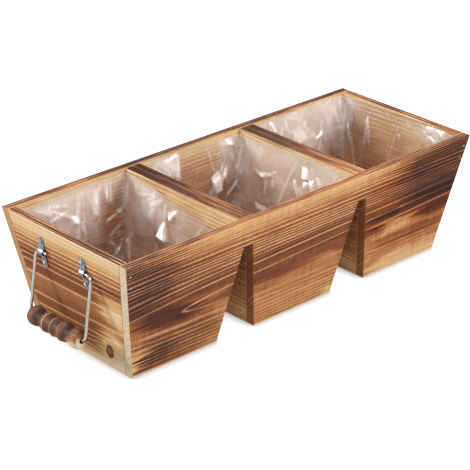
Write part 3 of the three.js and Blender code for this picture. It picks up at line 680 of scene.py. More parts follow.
def bracket(name, side, s, material):
    line = strap_line()
    half, r, thick, ease = 18.2, 4.0, 1.0, 0.22
    rings = []
    for i, (o, z) in enumerate(line):
        a, b = line[max(i - 1, 0)], line[min(i + 1, len(line) - 1)]
        d = Vector((b[0] - a[0], b[1] - a[1])).normalized()
        nrm = Vector((d.y, -d.x))
        past = max(0.0, abs(z) - (half - r))
        wide = math.sqrt(max(r * r - past * past, 0.05))
        ring = []
        e = min(ease, wide * 0.4)
        for cy, ct, a0 in ((wide - e, thick / 2 - e, 0), (-wide + e, thick / 2 - e, 90), (-wide + e, -thick / 2 + e, 180), (wide - e, -thick / 2 + e, 270)):
            for k in range(4):
                t = math.radians(a0 + 30 * k)
                y, h = cy + e * math.cos(t), ct + e * math.sin(t)
                ring.append(mount_point(side, s, (o + nrm.x * h, y, z + nrm.y * h)))
        rings.append(ring)
    return loft(name, rings, material)


def lathe_rings(profile, place, sides):
    return [[place(r * math.cos(2 * math.pi * k / sides), a, r * math.sin(2 * math.pi * k / sides)) for k in range(sides)] for a, r in profile]


for side in ("left", "right"):
    for s in (-1, 1):
        where = "front" if (s < 0) == (side == "right") else "back"
        stands_for(bracket(f"{side}_{where}_saddle", side, s, zinc), f"{side}_{where}_bracket")
        for level, zn in (("upper", 13.0), ("lower", -13.0)):
            seat, head = 1.6, 2.4
            prof = [(-7.4, 0.05), (-5.6, 1.0), (seat - 0.02, 1.0), (seat, head * 0.94), (seat + 0.12, head), (seat + 0.55, head * 0.97),
                    (seat + 0.9, head * 0.86), (seat + 1.18, head * 0.66), (seat + 1.38, head * 0.42), (seat + 1.48, head * 0.18), (seat + 1.5, 0.04)]
            place = lambda y, a, q: mount_point(side, s, (a, y, zn + q))
            stands_for(loft(f"{side}_{where}_nail_{level}", lathe_rings(prof, place, 28), nail_steel), f"{side}_{where}_bracket_nail_{level}")


def wire_path():
    span, end, top, low = 44.3, 27.35, 7.0, 8.0
    half = [(end, 0.0), (end + 0.5, 0.0)]
    half += [(y, 0.0) for y in np.linspace(end + 2, span - top - 1, 5)]
    half += [(span - top + top * math.cos(a), -top + top * math.sin(a)) for a in np.radians(np.linspace(90, 0, 18))]
    half += [(span, z) for z in np.linspace(-top - 2, -DROP + low + 2, 22)]
    half += [(span - low + low * math.cos(a), -DROP + low + low * math.sin(a)) for a in np.radians(np.linspace(0, -90, 16))]
    half += [(y, -DROP) for y in np.linspace(span - low - 3, 2.0, 10)]
    return half + [(-y, z) for y, z in reversed(half)]


def bail(name, side, material):
    line = wire_path()
    rings, sides, rad = [], 22, 1.72
    total = len(line)
    for i, (y, z) in enumerate(line):
        a, b = line[max(i - 1, 0)], line[min(i + 1, total - 1)]
        d = Vector((b[0] - a[0], b[1] - a[1])).normalized()
        n = Vector((-d.y, d.x))
        r = rad * 0.82 if i in (0, total - 1) else rad
        rings.append([bail_point(side, (r * math.sin(t), y + n.x * r * math.cos(t), z + n.y * r * math.cos(t))) for t in np.linspace(0, 2 * math.pi, sides, endpoint=False)])
    return loft(name, rings, material)


GRIP_HALF = [
    (0, 10.5), (0.9, 10.3), (2, 9.9), (4, 9.65), (6.3, 9.6), (8.5, 9.7), (10.4, 10.0), (11.6, 10.4), (12.5, 10.7), (13.4, 10.5),
    (15, 10.3), (17, 9.9), (19, 9.3), (21, 8.8), (23, 8.6), (25, 8.8), (27.5, 9.5), (30, 10.2), (33, 10.5), (35.5, 10.3),
    (37.6, 9.6), (39.2, 8.7), (40, 7.6),
]


def smooth_profile(points, per=5):
    """A smooth line through the points."""
    p = np.array(points, float)
    ext = np.vstack([2 * p[0] - p[1], p, 2 * p[-1] - p[-2]])
    out = []
    for i in range(1, len(ext) - 2):
        p0, p1, p2, p3 = ext[i - 1:i + 3]
        for t in np.linspace(0, 1, per, endpoint=False):
            out.append(0.5 * (2 * p1 + (p2 - p0) * t + (2 * p0 - 5 * p1 + 4 * p2 - p3) * t * t + (3 * p1 - p0 - 3 * p2 + p3) * t ** 3))
    out.append(p[-1])
    return [tuple(x) for x in out]


def grip(name, side, material):
    half = smooth_profile(GRIP_HALF, 4)
    outer = [(-a, r) for a, r in reversed(half)] + half[1:]
    bore = [(40.0, 7.2), (40.05, 4.6), (40.0, 3.7), (39.8, 3.35), (39.2, 3.1), (37, 2.95), (35, 2.8), (20, 2.8), (0, 2.8)]
    bore = bore + [(-a, r) for a, r in reversed(bore[:-1])]
    centre = bail_point(side, (0, 0, -DROP))
    rng = np.random.default_rng(3 if side == "left" else 4)
    tool = rng.normal(0, 0.035, len(outer))
    prof = [(a, r + k) for (a, r), k in zip(outer, tool)] + bore
    place = lambda x, a, z: Vector((x, a, z)) * MM
    o = loft(name, lathe_rings(prof, place, 72), material, closed=True)
    o.location = centre
    bpy.context.view_layer.update()
    return o


def grip_wood(name, seed, pale_end):
    g = Nodes(name)
    P = g.position()
    sep = g.new("ShaderNodeSeparateXYZ")
    g.put(sep.inputs[0], P)
    x, a, z = sep.outputs
    rad = g.math("SQRT", g.add(g.mul(x, x), g.mul(z, z)))
    grain = g.noise(g.scaled(P, (0.9, 0.05, 0.9), (seed, 0, 0)), 3.0, 0.6)
    fine = g.noise(g.scaled(P, (1.8, 0.16, 1.8), (seed + 3, 0, 0)), 2.0)
    turn = g.noise(g.combine(0.0, g.mul(a, 1.9), seed), 2.0)
    blot = g.noise(g.scaled(P, (0.10, 0.07, 0.10), (seed + 6, 0, 0)), 3.0, 0.6)
    char_and_shade = g.add(0.70, g.around(blot, 0.55), g.around(grain, 0.55), g.around(turn, 0.30))
    # darker in the grooves and lighter on the high beads: partly deeper char, partly painted shade in the grooves and
    # painted highlight on the beads
    char_and_shade = g.add(char_and_shade, g.rise(rad, 8.2, 10.4, 0.24, -0.14, "LINEAR"))
    # paler on the under side towards one end
    far = g.vmath("LENGTH", g.scaled(P, (0.070, 0.056, 0.070), (pale_end * -0.070 * 6.0, -pale_end * 0.056 * 40.0, 0.070 * 9.0)), out=1)
    char_and_shade = g.add(char_and_shade, g.rise(g.add(far, g.around(blot, 0.5), g.around(grain, 0.5)), 0.35, 1.35, -0.80, 0.0, "LINEAR"))
    # cut ends stay pale
    ends = g.rise(g.math("ABSOLUTE", a), 38.9, 39.8)
    char_and_shade = g.add(char_and_shade, g.mul(ends, -0.30))
    # painted shade: the inside of the bore is darkened
    bore = g.rise(rad, 3.4, 3.0)
    char_and_shade = g.math("ADD", char_and_shade, g.mul(bore, 0.7), clamp=True)
    colour = g.ramp(char_and_shade, [(0.0, lin(226, 204, 174)), (0.20, lin(198, 160, 120)), (0.40, lin(144, 98, 70)), (0.62, lin(98, 60, 43)), (0.82, lin(70, 42, 32)), (1.0, lin(43, 28, 24))])
    # thin pale rings scraped round the beads
    ring = None
    for at, amount in ((-10.6, 0.45), (1.4, 0.85), (13.6, 0.95)):
        m = g.rise(g.math("ABSOLUTE", g.math("SUBTRACT", a, -pale_end * at)), 0.30, 0.80, amount, 0.0)
        ring = m if ring is None else g.math("MAXIMUM", ring, m)
    ring = g.mul(ring, g.rise(g.noise(g.scaled(P, (0.14, 0.14, 0.14), (seed + 9, 0, 0)), 2.0), 0.30, 0.58, 0.35, 0.95))
    ring = g.mul(ring, g.rise(rad, 8.0, 9.0))
    colour = g.mix(ring, colour, lin(220, 182, 142))
    tone = g.add(g.around(grain, 0.45), g.around(fine, 0.30), 1.0)
    colour = g.mix(1.0, colour, g.combine(tone, tone, tone), "MULTIPLY")
    relief = g.add(g.mul(grain, 0.6), g.mul(fine, 0.3), g.mul(turn, 0.5))
    b = g.principled(Base_Color=colour, Roughness=g.add(0.52, g.around(fine, 0.2)), Normal=g.bump(relief, 0.5, 0.0003))
    b.inputs["Specular IOR Level"].default_value = 0.3
    return g.done(b.outputs[0])


for side, seed, pale in (("left", 3.0, -1.0), ("right", 8.0, 1.0)):
    stands_for(bail(f"{side}_bail", side, wire_steel), f"{side}_bail_wire", f"{side}_bail")
    stands_for(grip(f"{side}_turned_grip", side, grip_wood(f"{side}_grip_wood", seed, pale)), f"{side}_grip", f"{side}_grip_body")

for n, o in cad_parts.items():
    if n.startswith("brad_"):
        o.data.materials.clear()
        o.data.materials.append(nail_steel if "_end_" in n else brad_dark)


# ------------------------------------------------------------------ clear film in each bay
def cells(a, b, period, size, rng, lean=0.5):
    """Creased height: the lowest of many cones, at most about 1, with each facet's own number and the folds between."""
    na = max(3, round(period / size))
    nb = max(3, round((b.max() - b.min()) / size) + 2)
    wa = period / na
    best, second = np.full(a.shape, 1e9), np.full(a.shape, 1e9)
    facet = np.zeros(a.shape)
    for i in range(na):
        for j in range(-1, nb):
            pa = (i + rng.uniform(0.1, 0.9)) * wa
            pb = b.min() + (j + rng.uniform(0.1, 0.9)) * size
            k = rng.uniform(1 - lean, 1 + lean)
            lift = rng.uniform(0, 0.45) * size
            turn = rng.uniform(0, math.pi)
            st = rng.uniform(1.0, 1.9)
            own = rng.uniform()
            da = (a - pa + period / 2) % period - period / 2
            db = b - pb
            x, y = da * math.cos(turn) + db * math.sin(turn), (-da * math.sin(turn) + db * math.cos(turn)) * st
            d = k * np.hypot(x, y) + lift
            nearer = d < best
            second = np.where(nearer, best, np.minimum(second, d))
            facet = np.where(nearer, own, facet)
            best = np.minimum(best, d)
    return np.clip(best / size, 0, 1.4), facet, np.clip(1 - (second - best) / 1.5, 0, 1)


def panes(a, b, period, size, rng):
    """Straight-edged facets round the bay: each one's own number and its distance from the nearest edge."""
    na, nb = max(3, round(period / size)), round((b.max() - b.min()) / size) + 2
    wa = period / na
    seeds = [((i + rng.uniform(0.05, 0.95)) * wa, b.min() + (j + rng.uniform(0.05, 0.95)) * size, rng.uniform(-0.12, 0.12) * size * size, rng.uniform()) for i in range(na) for j in range(-1, nb)]
    best = np.full(a.shape, 1e9)
    at_a, at_b, own = np.zeros(a.shape), np.zeros(a.shape), np.zeros(a.shape)
    for pa, pb, w, o in seeds:
        da = (a - pa + period / 2) % period - period / 2
        d = da * da + (b - pb) ** 2 + w
        nearer = d < best
        best = np.where(nearer, d, best)
        at_a, at_b, own = np.where(nearer, a - da, at_a), np.where(nearer, pb, at_b), np.where(nearer, o, own)
    edge = np.full(a.shape, 1e9)
    for pa, pb, w, o in seeds:
        da = (a - pa + period / 2) % period - period / 2
        d = da * da + (b - pb) ** 2 + w
        apart = np.hypot(a - da - at_a, pb - at_b)
        edge = np.where(apart > 0.5, np.minimum(edge, (d - best) / (2 * np.maximum(apart, 0.5))), edge)
    return own, edge


def film_sheet(name, i, seed, edge, folds, facets, layers, veils, material):
    rng = np.random.default_rng(seed)
    cx = sum(BAYS[i]) / 2
    around, rows, inner_rows = 420, 96, 30
    rc = 5.5
    low = 12.6
    hx, hy = half_x(i, 75, 0.6), half_y(75, 0.6)
    sides = [2 * (hy - rc), 2 * (hx - rc)]
    arc = math.pi / 2 * rc
    total = 2 * sum(sides) + 4 * arc
    # walk round: right wall front to back, back wall right to left, left wall back to front, front wall left to right
    walk = []
    for k in range(around):
        s = k / around * total
        for leg in range(8):
            ln = sides[(leg // 2) % 2] if leg % 2 == 0 else arc
            if s < ln:
                walk.append((leg, s / ln))
                break
            s -= ln
        else:
            walk.append((7, 1.0))
    corner = ((1, 1), (-1, 1), (-1, -1), (1, -1))

    def at(leg, f, z, grow):
        """Point of the wall and the way into the bay, for one place round the bay at height z."""
        ax, ay = half_x(i, z, 0.6), half_y(z, 0.6)
        r = rc * grow
        if leg % 2 == 0:
            k = leg // 2
            if k == 0:
                return ax, (-1 + 2 * f) * (ay - r), (-1, 0)
            if k == 1:
                return (1 - 2 * f) * (ax - r), ay, (0, -1)
            if k == 2:
                return -ax, (1 - 2 * f) * (ay - r), (1, 0)
            return (-1 + 2 * f) * (ax - r), -ay, (0, 1)
        k = leg // 2
        sx, sy = corner[k]
        t = math.pi / 2 * (k + f)
        return sx * (ax - r) + r * math.cos(t), sy * (ay - r) + r * math.sin(t), (-math.cos(t), -math.sin(t))

    ang = np.arange(around) / around
    top = np.zeros(around)
    for k, (leg, f) in enumerate(walk):
        x, y, _ = at(leg, f, 130, 1.0)
        top[k] = edge(cx + x, y)
    for j in range(3, 16):
        top += rng.normal(0, 0.5) / (j * 0.28) * np.cos(2 * math.pi * j * ang + rng.uniform(0, 6.28))
    top += 0.35 * rng.normal(0, 1, around)
    top = np.clip(top, 117, 138.4)
    pos = np.zeros((rows + inner_rows, around, 3))
    way = np.zeros_like(pos)
    sheet_b = np.zeros((rows + inner_rows, around))
    for k, (leg, f) in enumerate(walk):
        for q in range(rows):
            z = top[k] + (low - top[k]) * (q / (rows - 1)) ** 1.0
            grow = 1.0 + 0.9 * (1 - (z - low) / 125)
            x, y, n = at(leg, f, z, grow)
            pos[q, k] = (cx + x, y, z)
            way[q, k] = (n[0], n[1], 0.0)
            sheet_b[q, k] = 138 - z
        base = pos[rows - 1, k].copy()
        for q in range(inner_rows):
            t = (q + 1) / inner_rows
            t = t ** 1.1 * 0.985
            pos[rows + q, k] = (cx + (base[0] - cx) * (1 - t), base[1] * (1 - t), low)
            way[rows + q, k] = (0, 0, 1)
            sheet_b[rows + q, k] = 126 + t * 60
    a = np.tile(ang * total, (rows + inner_rows, 1))
    b = sheet_b
    # creases of three sizes
    big, big_own, big_seam = cells(a, b, total, 46.0, rng)
    mid, mid_own, mid_seam = cells(a + 9 * big, b + 7 * big, total, 21.0, rng)
    small, small_own, small_seam = cells(a + 4 * mid, b + 4 * mid, total, 9.0, rng)
    loose = np.clip((cells(a, b, total, 70.0, rng, 0.2)[0] - 0.28) * 2.2, 0.12, 1.0)
    h = 0.7 + 2.2 * big + 0.55 * mid * (0.3 + 0.7 * loose) + 0.10 * small * loose ** 2
    # upright pleats gather towards the corners
    legs = np.array([leg for leg, _ in walk])
    fr = np.array([f for _, f in walk])
    near = np.array([1.0 if leg % 2 else math.exp(-min(f, 1 - f) * sides[(leg // 2) % 2] / 6.0) for leg, f in walk])
    pleat = np.abs(((a / 5.2 + 0.5 * np.sin(b / 17.0) + 0.35 * np.sin(b / 7.3 + a / 11)) % 1.0) - 0.5) * 2
    h = h + near[None, :] * (0.45 * pleat * (0.35 + 0.65 * np.clip(b / 60, 0, 1)) + 0.5)
    crease = np.zeros_like(h)
    # short crinkles, most of them near the corners and the hem
    crinkles = []
    while len(crinkles) < 30:
        q, k = int(rows * rng.beta(1.1, 1.9)), int(rng.integers(around))
        if rng.uniform() > 0.25 + 0.75 * near[k]:
            continue
        q2 = int(np.clip(q + rng.normal(0, 1) * 9 + rng.choice((-7, 7)), 1, rows - 1))
        k2 = int(k + rng.normal(0, 7)) % around
        if 5 < np.linalg.norm(pos[q, k] - pos[q2, k2]) < 34:
            crinkles.append((pos[q, k], pos[q2, k2], rng.uniform(1.4, 2.8), rng.uniform(0.5, 1.5), rng.uniform(0.15, 0.6)))
    # a few long thin creases slant down from the corners
    while len(crinkles) < 44:
        q, k = int(rows * rng.uniform(0.02, 0.35)), int(rng.integers(around))
        q2 = int(np.clip(q + rng.uniform(22, 62), 1, rows - 1))
        k2 = int(k + rng.normal(0, 13)) % around
        if legs[k] == legs[k2] and 30 < np.linalg.norm(pos[q, k] - pos[q2, k2]) < 95:
            crinkles.append((pos[q, k], pos[q2, k2], rng.uniform(1.2, 1.9), rng.uniform(0.5, 1.2), rng.uniform(0.2, 0.6)))
    # each fold raises the film and whitens it along its crease: partly stress whitening, partly painted highlight
    for p0, p1, width, height, white in list(folds) + crinkles:
        p0, p1 = np.array(p0, float), np.array(p1, float)
        d = p1 - p0
        t = np.clip(((pos - p0) @ d) / (d @ d), 0, 1)
        dist = np.linalg.norm(pos - p0 - t[..., None] * d, axis=-1)
        m = np.clip(1 - dist / width, 0, 1)
        taper = np.clip(np.minimum(t, 1 - t) * 5 + 0.35, 0, 1)
        h = h + height * m * taper
        crease = np.maximum(crease, white * np.clip(1 - dist / (width * 0.55), 0, 1) * taper)
    # the hem lies on the wood
    hem = np.clip((np.arange(rows)[:, None] / (rows - 1)) * 3.4, 0.12, 1)
    h[:rows] *= hem
    # flat facets between folds, each with its own slope across and up the wall
    legs_of = np.tile(legs, (rows + inner_rows, 1))
    on_wall = np.arange(rows + inner_rows)[:, None] < rows - 2
    shine = np.zeros_like(h)

    def inside(wall, poly):
        """Depth inside a convex outline on the right or the back wall, and the place along that wall."""
        t, z = pos[..., 1 if wall == "x" else 0] + 1.6 * (mid - 0.5), pos[..., 2] + 1.6 * (small - 0.5)
        pt = np.array(poly, float)
        turn = np.sign(np.cross(pt[1] - pt[0], pt[2] - pt[0]))
        depth = np.full(h.shape, 1e9)
        for q0, q1 in zip(pt, np.roll(pt, -1, 0)):
            e = (q1 - q0) / np.linalg.norm(q1 - q0)
            depth = np.minimum(depth, turn * (e[0] * (z - q0[1]) - e[1] * (t - q0[0])))
        return depth, (legs_of == (0 if wall == "x" else 2)) * on_wall, t, z

    for wall, poly, across, upward in facets:
        depth, here, t, z = inside(wall, poly)
        m = np.clip(depth / 1.6 + 0.6, 0, 1) * here
        pt = np.array(poly, float)
        rise = (pt - pt.mean(0)) @ np.array([across, upward])
        plane = across * (t - pt[:, 0].mean()) + upward * (z - pt[:, 1].mean()) - rise.min() + 0.5 + 0.35 * (mid - 0.5)
        h = h * (1 - m) + plane * m
        shine = np.maximum(shine, m)
    # whiter patches with a sharp edge: partly doubled film, partly painted reflection of the bright room
    doubled_and_reflected = np.zeros_like(h)
    for wall, poly, amount in layers:
        depth, here, t, z = inside(wall, poly)
        doubled_and_reflected = doubled_and_reflected + amount * np.clip(depth / 1.1 + 0.5, 0, 1) * here
        crease = np.maximum(crease, 0.9 * amount * np.clip(1 - np.abs(depth) / 0.9, 0, 1) * here)
    ease = np.clip(np.arange(inner_rows) / 5.0, 0, 1)[:, None]
    h[rows:] = h[rows:] * (0.35 + 0.25 * (1 - ease)) * (1 - 0.55 * ease)
    final = pos + way * h[..., None]
    # round the turn between wall and floor
    for _ in range(3):
        for q in range(rows - 4, rows + 4):
            final[q] = 0.5 * final[q] + 0.25 * (final[q - 1] + final[q + 1])
    final[:, :, 2] = np.maximum(final[:, :, 2], 11.9)
    # white haze, partly the film's own milkiness and partly a painted reflection of the bright room: slow patches,
    # stretched folds and placed veils
    slow = cells(a, b, total, 60.0, rng, 0.3)[0]
    slow = 0.5 * slow + 0.25
    bend = np.abs(np.roll(h, 1, 1) + np.roll(h, -1, 1) - 2 * h)
    bend[1:-1] += np.abs(h[2:] + h[:-2] - 2 * h[1:-1])
    veil = 0.205 + 0.08 * slow + np.clip((bend - 0.14) * 0.8, 0, 0.20)
    rng2 = np.random.default_rng(seed + 50)
    tall, tall_edge = panes(a + 2.5 * (mid - 0.5), 0.62 * b + 1.5 * (small - 0.5), total, 40.0, rng2)
    short, short_edge = panes(a + 0.35 * b, 0.8 * b, total, 17.0, rng2)
    veil += 0.15 * (tall - 0.5) + 0.10 * (short - 0.5) * loose + 0.05 * (small_own - 0.5) * loose
    # painted reflection: the haze thins towards the bottom of the bay, where less of the bright room is mirrored in the
    # film
    veil *= np.interp(pos[..., 2], (12, 50, 90, 120), (0.55, 0.80, 0.98, 1.0))
    veil -= 0.05 * near[None, :] * np.interp(pos[..., 2], (20, 60, 110, 128), (0.6, 1.0, 1.0, 0.0))
    veil[:1] += 0.25
    # painted highlight: the facets tilted to catch the lamps are also whitened
    veil += 0.26 * shine * (0.6 + 0.8 * mid_own) + doubled_and_reflected
    # whitened lines along the facet edges: partly stress whitening, partly painted highlight
    crease = np.maximum(crease, 0.42 * np.clip(1 - tall_edge / 0.9, 0, 1) * (tall > 0.55))
    crease = np.maximum(crease, 0.40 * np.clip(1 - short_edge / 0.8, 0, 1) * (short > 0.72) * loose)
    for c, size, amount in veils:
        q = (pos - np.array(c)) / np.array(size)
        veil = veil + amount * np.clip(1.15 - np.linalg.norm(q, axis=-1), 0, 1)
    veil = np.clip(veil, 0.04, 0.85)
    bm = bmesh.new()
    grid = [[bm.verts.new(Vector(final[q, k]) * MM) for k in range(around)] for q in range(rows + inner_rows)]
    for q in range(rows + inner_rows - 1):
        for k in range(around):
            k2 = (k + 1) % around
            bm.faces.new((grid[q][k], grid[q + 1][k], grid[q + 1][k2], grid[q][k2]))
    mid_v = bm.verts.new(Vector(final[-1].mean(0)) * MM)
    for k in range(around):
        bm.faces.new((grid[-1][k], mid_v, grid[-1][(k + 1) % around]))
    o = as_object(name, bm, material, True)
    for attr, values, centre in (("veil", veil, 0.3), ("crease", crease, 0.0)):
        at_ = o.data.attributes.new(attr, "FLOAT", "POINT")
        at_.data.foreach_set("value", np.append(values.ravel(), centre).astype(np.float32))
    return o


def film_material():
    g = Nodes("clear_film")
    P = g.position()
    veil = g.new("ShaderNodeAttribute", attribute_name="veil").outputs["Fac"]
    crease = g.new("ShaderNodeAttribute", attribute_name="crease").outputs["Fac"]
    n1 = g.noise(g.scaled(P, (0.035, 0.035, 0.028), (3, 0, 0)), 2.0, 0.55)
    n2 = g.noise(g.scaled(P, (0.22, 0.22, 0.16), (6, 2, 0)), 3.0, 0.6)
    # haze: the film's milkiness and its painted reflection of the room, whitened along creases as partly painted
    # highlight
    haze = g.add(veil, g.mul(g.around(n1, 0.9), veil), g.mul(g.around(n2, 0.3), veil), g.mul(crease, 0.55))
    haze = g.math("MULTIPLY", haze, 1.0, clamp=True)
    colour = g.mix(n1, lin(240, 225, 216), lin(246, 237, 232))
    body = g.principled(Base_Color=colour, Roughness=0.5)
    body.inputs["Specular IOR Level"].default_value = 0.2
    clear = g.new("ShaderNodeBsdfTransparent")
    clear.inputs["Color"].default_value = (0.985, 0.975, 0.975, 1)
    sheet = g.new("ShaderNodeMixShader")
    g.put(sheet.inputs[0], haze)
    g.put(sheet.inputs[1], clear.outputs[0])
    g.put(sheet.inputs[2], body.outputs[0])
    gloss = g.principled(Base_Color=(1.0, 1.0, 1.0, 1), Metallic=1.0, Roughness=g.math("MULTIPLY_ADD", n2, 0.14, 0.17))
    shine = g.new("ShaderNodeFresnel")
    shine.inputs["IOR"].default_value = 1.5
    m = g.new("ShaderNodeMixShader")
    g.put(m.inputs[0], g.math("MINIMUM", g.mul(shine.outputs[0], 1.2), 0.15))
    g.put(m.inputs[1], sheet.outputs[0])
    g.put(m.inputs[2], gloss.outputs[0])
    return g.done(m.outputs[0])


film = film_material()


def wall_x(i, y, z):
    """A point on the inside of a bay's right wall."""
    return (BAYS[i][1] - TX - KX * (HEIGHT - z) - 0.6, y, z)


def wall_y(x, z):
    """A point on the inside of the back wall."""
    return (x, half_y(z, 0.6), z)


def interp(points, t):
    xs, ys = zip(*sorted(points))
    return float(np.interp(t, xs, ys))


def edge_1(x, y):
    if y > half_y(130, 0) - 6:
        return interp([(-236, 131.5), (-220, 135.5), (-105, 135.5), (-98, 137)], x)
    if y < 6 - half_y(130, 0):
        return interp([(-236, 132), (-165, 131), (-130, 126), (-106, 121.4), (-98, 121)], x)
    if x > -110:
        return interp([(80, 137), (69, 136.5), (53, 133.5), (30, 131.5), (10, 127.5), (-20, 124), (-50, 122), (-80, 121)], y)
    return 132.0


def edge_2(x, y):
    if y > half_y(130, 0) - 6:
        return interp([(-70, 137), (-57, 138), (0, 137.5), (35, 136), (65, 134.7)], x)
    if y < 6 - half_y(130, 0):
        return interp([(-70, 135), (20, 135), (62, 138.2), (70, 138.2)], x)
    if x > 60:
        return interp([(80, 134), (68, 134), (50, 136.5), (20, 138.2), (-80, 138.2)], y)
    return interp([(-92, 135), (50, 135), (86, 137)], y)


def edge_3(x, y):
    return max(interp([(90, 136), (180, 136), (226, 138.3)], x), interp([(-92, 136), (30, 136), (76, 138.3)], y))


# folds listed per bay: from, to, width, height and whitening; the whitening is partly painted highlight
FOLDS = (
    [  # bay 1
        (wall_x(0, 17.5, 125), wall_x(0, 16, 106), 1.8, 1.6, 0.9), (wall_x(0, 40, 112), wall_x(0, 22, 126), 2.2, 1.4, 0.5), (wall_x(0, 46, 118), wall_x(0, 30, 128), 2.2, 1.2, 0.45),
        (wall_y(-200, 112), wall_y(-178, 116), 2.2, 1.0, 0.35), (wall_y(-218, 129), wall_y(-198, 119), 1.6, 1.2, 0.5), (wall_y(-213, 131), wall_y(-167, 105), 1.4, 1.2, 0.5), (wall_y(-204, 128), wall_y(-174, 122), 1.4, 1.0, 0.4),
        (wall_y(-167, 105), wall_y(-159, 88), 1.4, 1.0, 0.45), (wall_y(-122.5, 134), wall_y(-124, 114), 1.6, 1.4, 0.6), (wall_y(-115, 134), wall_y(-119, 110), 1.6, 1.4, 0.6), (wall_y(-121, 61), wall_y(-129, 70), 1.5, 1.2, 0.6),
        (wall_x(0, 62, 120), wall_x(0, 36, 127), 1.4, 1.2, 0.5), (wall_x(0, 43, 114), wall_x(0, 25, 125), 1.4, 1.2, 0.5), (wall_x(0, 80, 72), wall_x(0, 66, 46), 1.4, 1.2, 0.5), (wall_x(0, 62, 79), wall_x(0, 69, 53), 1.4, 1.2, 0.5), (wall_x(0, 58, 76), wall_x(0, 73, 63), 1.3, 1.0, 0.45),
        (wall_y(-130, 92), wall_y(-108, 100), 2.6, 1.8, 0.4), (wall_y(-128, 76), wall_y(-112, 84), 2.6, 1.8, 0.4),
        (wall_y(-124, 54), wall_y(-112, 68), 2.0, 1.8, 0.8), (wall_x(0, 66, 72), wall_x(0, 60, 48), 2.4, 2.0, 0.5), (wall_x(0, 80, 132), wall_x(0, 79, 70), 2.4, 1.8, 0.45),
        (wall_x(0, 84, 80), wall_x(0, 78, 66), 2.0, 1.6, 0.5), (wall_x(0, 78, 74), wall_x(0, 62, 66), 2.0, 1.6, 0.4), (wall_y(-160, 132), wall_y(-170, 86), 2.4, 1.6, 0.3),
    ],
    [  # bay 2
        (wall_x(1, 33, 97), wall_x(1, 33, 80), 1.8, 1.8, 0.8), (wall_y(60, 86), wall_y(40, 72), 2.0, 2.0, 0.8), (wall_y(40, 130), wall_y(56, 128), 2.0, 1.6, 0.6),
        (wall_x(1, 24, 100), wall_x(1, 22, 92), 2.0, 1.8, 0.6), (wall_x(1, -8, 110), wall_x(1, -18, 94), 2.2, 1.8, 0.5), (wall_x(1, -40, 122), wall_x(1, -46, 114), 2.4, 1.8, 0.6),
        (wall_x(1, 80, 82), wall_x(1, 74, 78), 2.4, 1.8, 0.6), (wall_y(-22, 134), wall_y(-25, 108), 2.6, 1.8, 0.4), (wall_x(1, 80, 130), wall_x(1, 78, 64), 2.4, 1.6, 0.4),
    ],
    [  # bay 3
        (wall_x(2, 43.5, 122), wall_x(2, 40, 85), 1.8, 1.8, 0.95), (wall_x(2, 43.5, 122), wall_x(2, 32, 93), 1.8, 1.8, 0.95), (wall_x(2, 39, 139), wall_x(2, 37, 130), 1.8, 1.4, 0.6),
        (wall_x(2, 17, 138), wall_x(2, 14, 131), 1.8, 1.4, 0.6), (wall_x(2, -12, 138), wall_x(2, -20, 128), 2.0, 1.6, 0.8), (wall_x(2, -40, 130), wall_x(2, -62, 122), 2.2, 1.8, 0.5),
        (wall_y(233, 135), wall_y(231, 92), 3.0, 2.2, 0.8), (wall_y(219, 128), wall_y(230, 96), 2.6, 2.0, 0.6), (wall_y(119, 136), wall_y(126, 122), 2.6, 2.0, 0.7), (wall_y(143, 132), wall_y(143, 118), 2.6, 1.8, 0.6),
        (wall_y(186, 98), wall_y(198, 104), 2.6, 1.6, 0.4), (wall_x(2, 80, 134), wall_x(2, 78, 80), 3.0, 2.0, 0.6),
    ],
)
# facets listed per bay: wall, outline, slope across and slope up; tilted to catch the lamps, and whitened as a painted
# highlight
FACETS = (
    [  # bay 1
        ("x", ((11, 114), (-1, 121), (3, 108)), 0.03, -0.49), ("x", ((16, 106), (20, 98), (19, 88), (5, 86), (10, 96)), 0.04, -0.46),
        ("y", ((-174, 112), (-166, 110), (-168, 100), (-173, 103)), 0.10, -0.34),
        ("y", ((-140, 130), (-134, 129), (-141, 104), (-145, 106)), 0.03, -0.08),
    ],
    [  # bay 2
        ("x", ((54, 104), (30, 106), (40, 98)), 0.05, -0.39), ("x", ((45, 70), (26, 70), (30, 63), (42, 64)), 0.04, -0.44),
        ("x", ((-17, 128), (-24, 126), (-28, 116), (-19, 116)), 0.02, -0.39), ("x", ((-19, 115), (-28, 114), (-24, 104)), 0.02, -0.40), ("x", ((-29, 114), (-36, 118), (-34, 108)), 0.02, -0.37),
        ("y", ((24, 80), (22, 98), (32, 104), (38, 95), (32, 82)), 0.16, -0.30), ("y", ((36, 98), (46, 106), (42, 94), (38, 92)), 0.14, -0.33),
        ("y", ((50, 133), (58, 131), (60, 125), (52, 127)), 0.13, -0.28), ("y", ((62, 128), (69, 124), (66, 119)), 0.15, -0.31), ("y", ((-40, 133), (-20, 135), (-22, 118), (-30, 120)), 0.04, -0.08),
    ],
    [  # bay 3
        ("x", ((-44, 137), (-56, 138), (-54, 131), (-47, 130)), 0.01, -0.14), ("x", ((-58, 136), (-72, 138), (-68, 130)), 0.02, -0.16), ("x", ((-44, 127), (-54, 124), (-50, 121)), -0.02, -0.20),
        ("y", ((118, 135), (123, 134), (127, 122), (123, 123)), 0.12, -0.18), ("y", ((152, 118), (166, 121), (172, 104), (160, 100)), 0.03, -0.06),
    ],
)
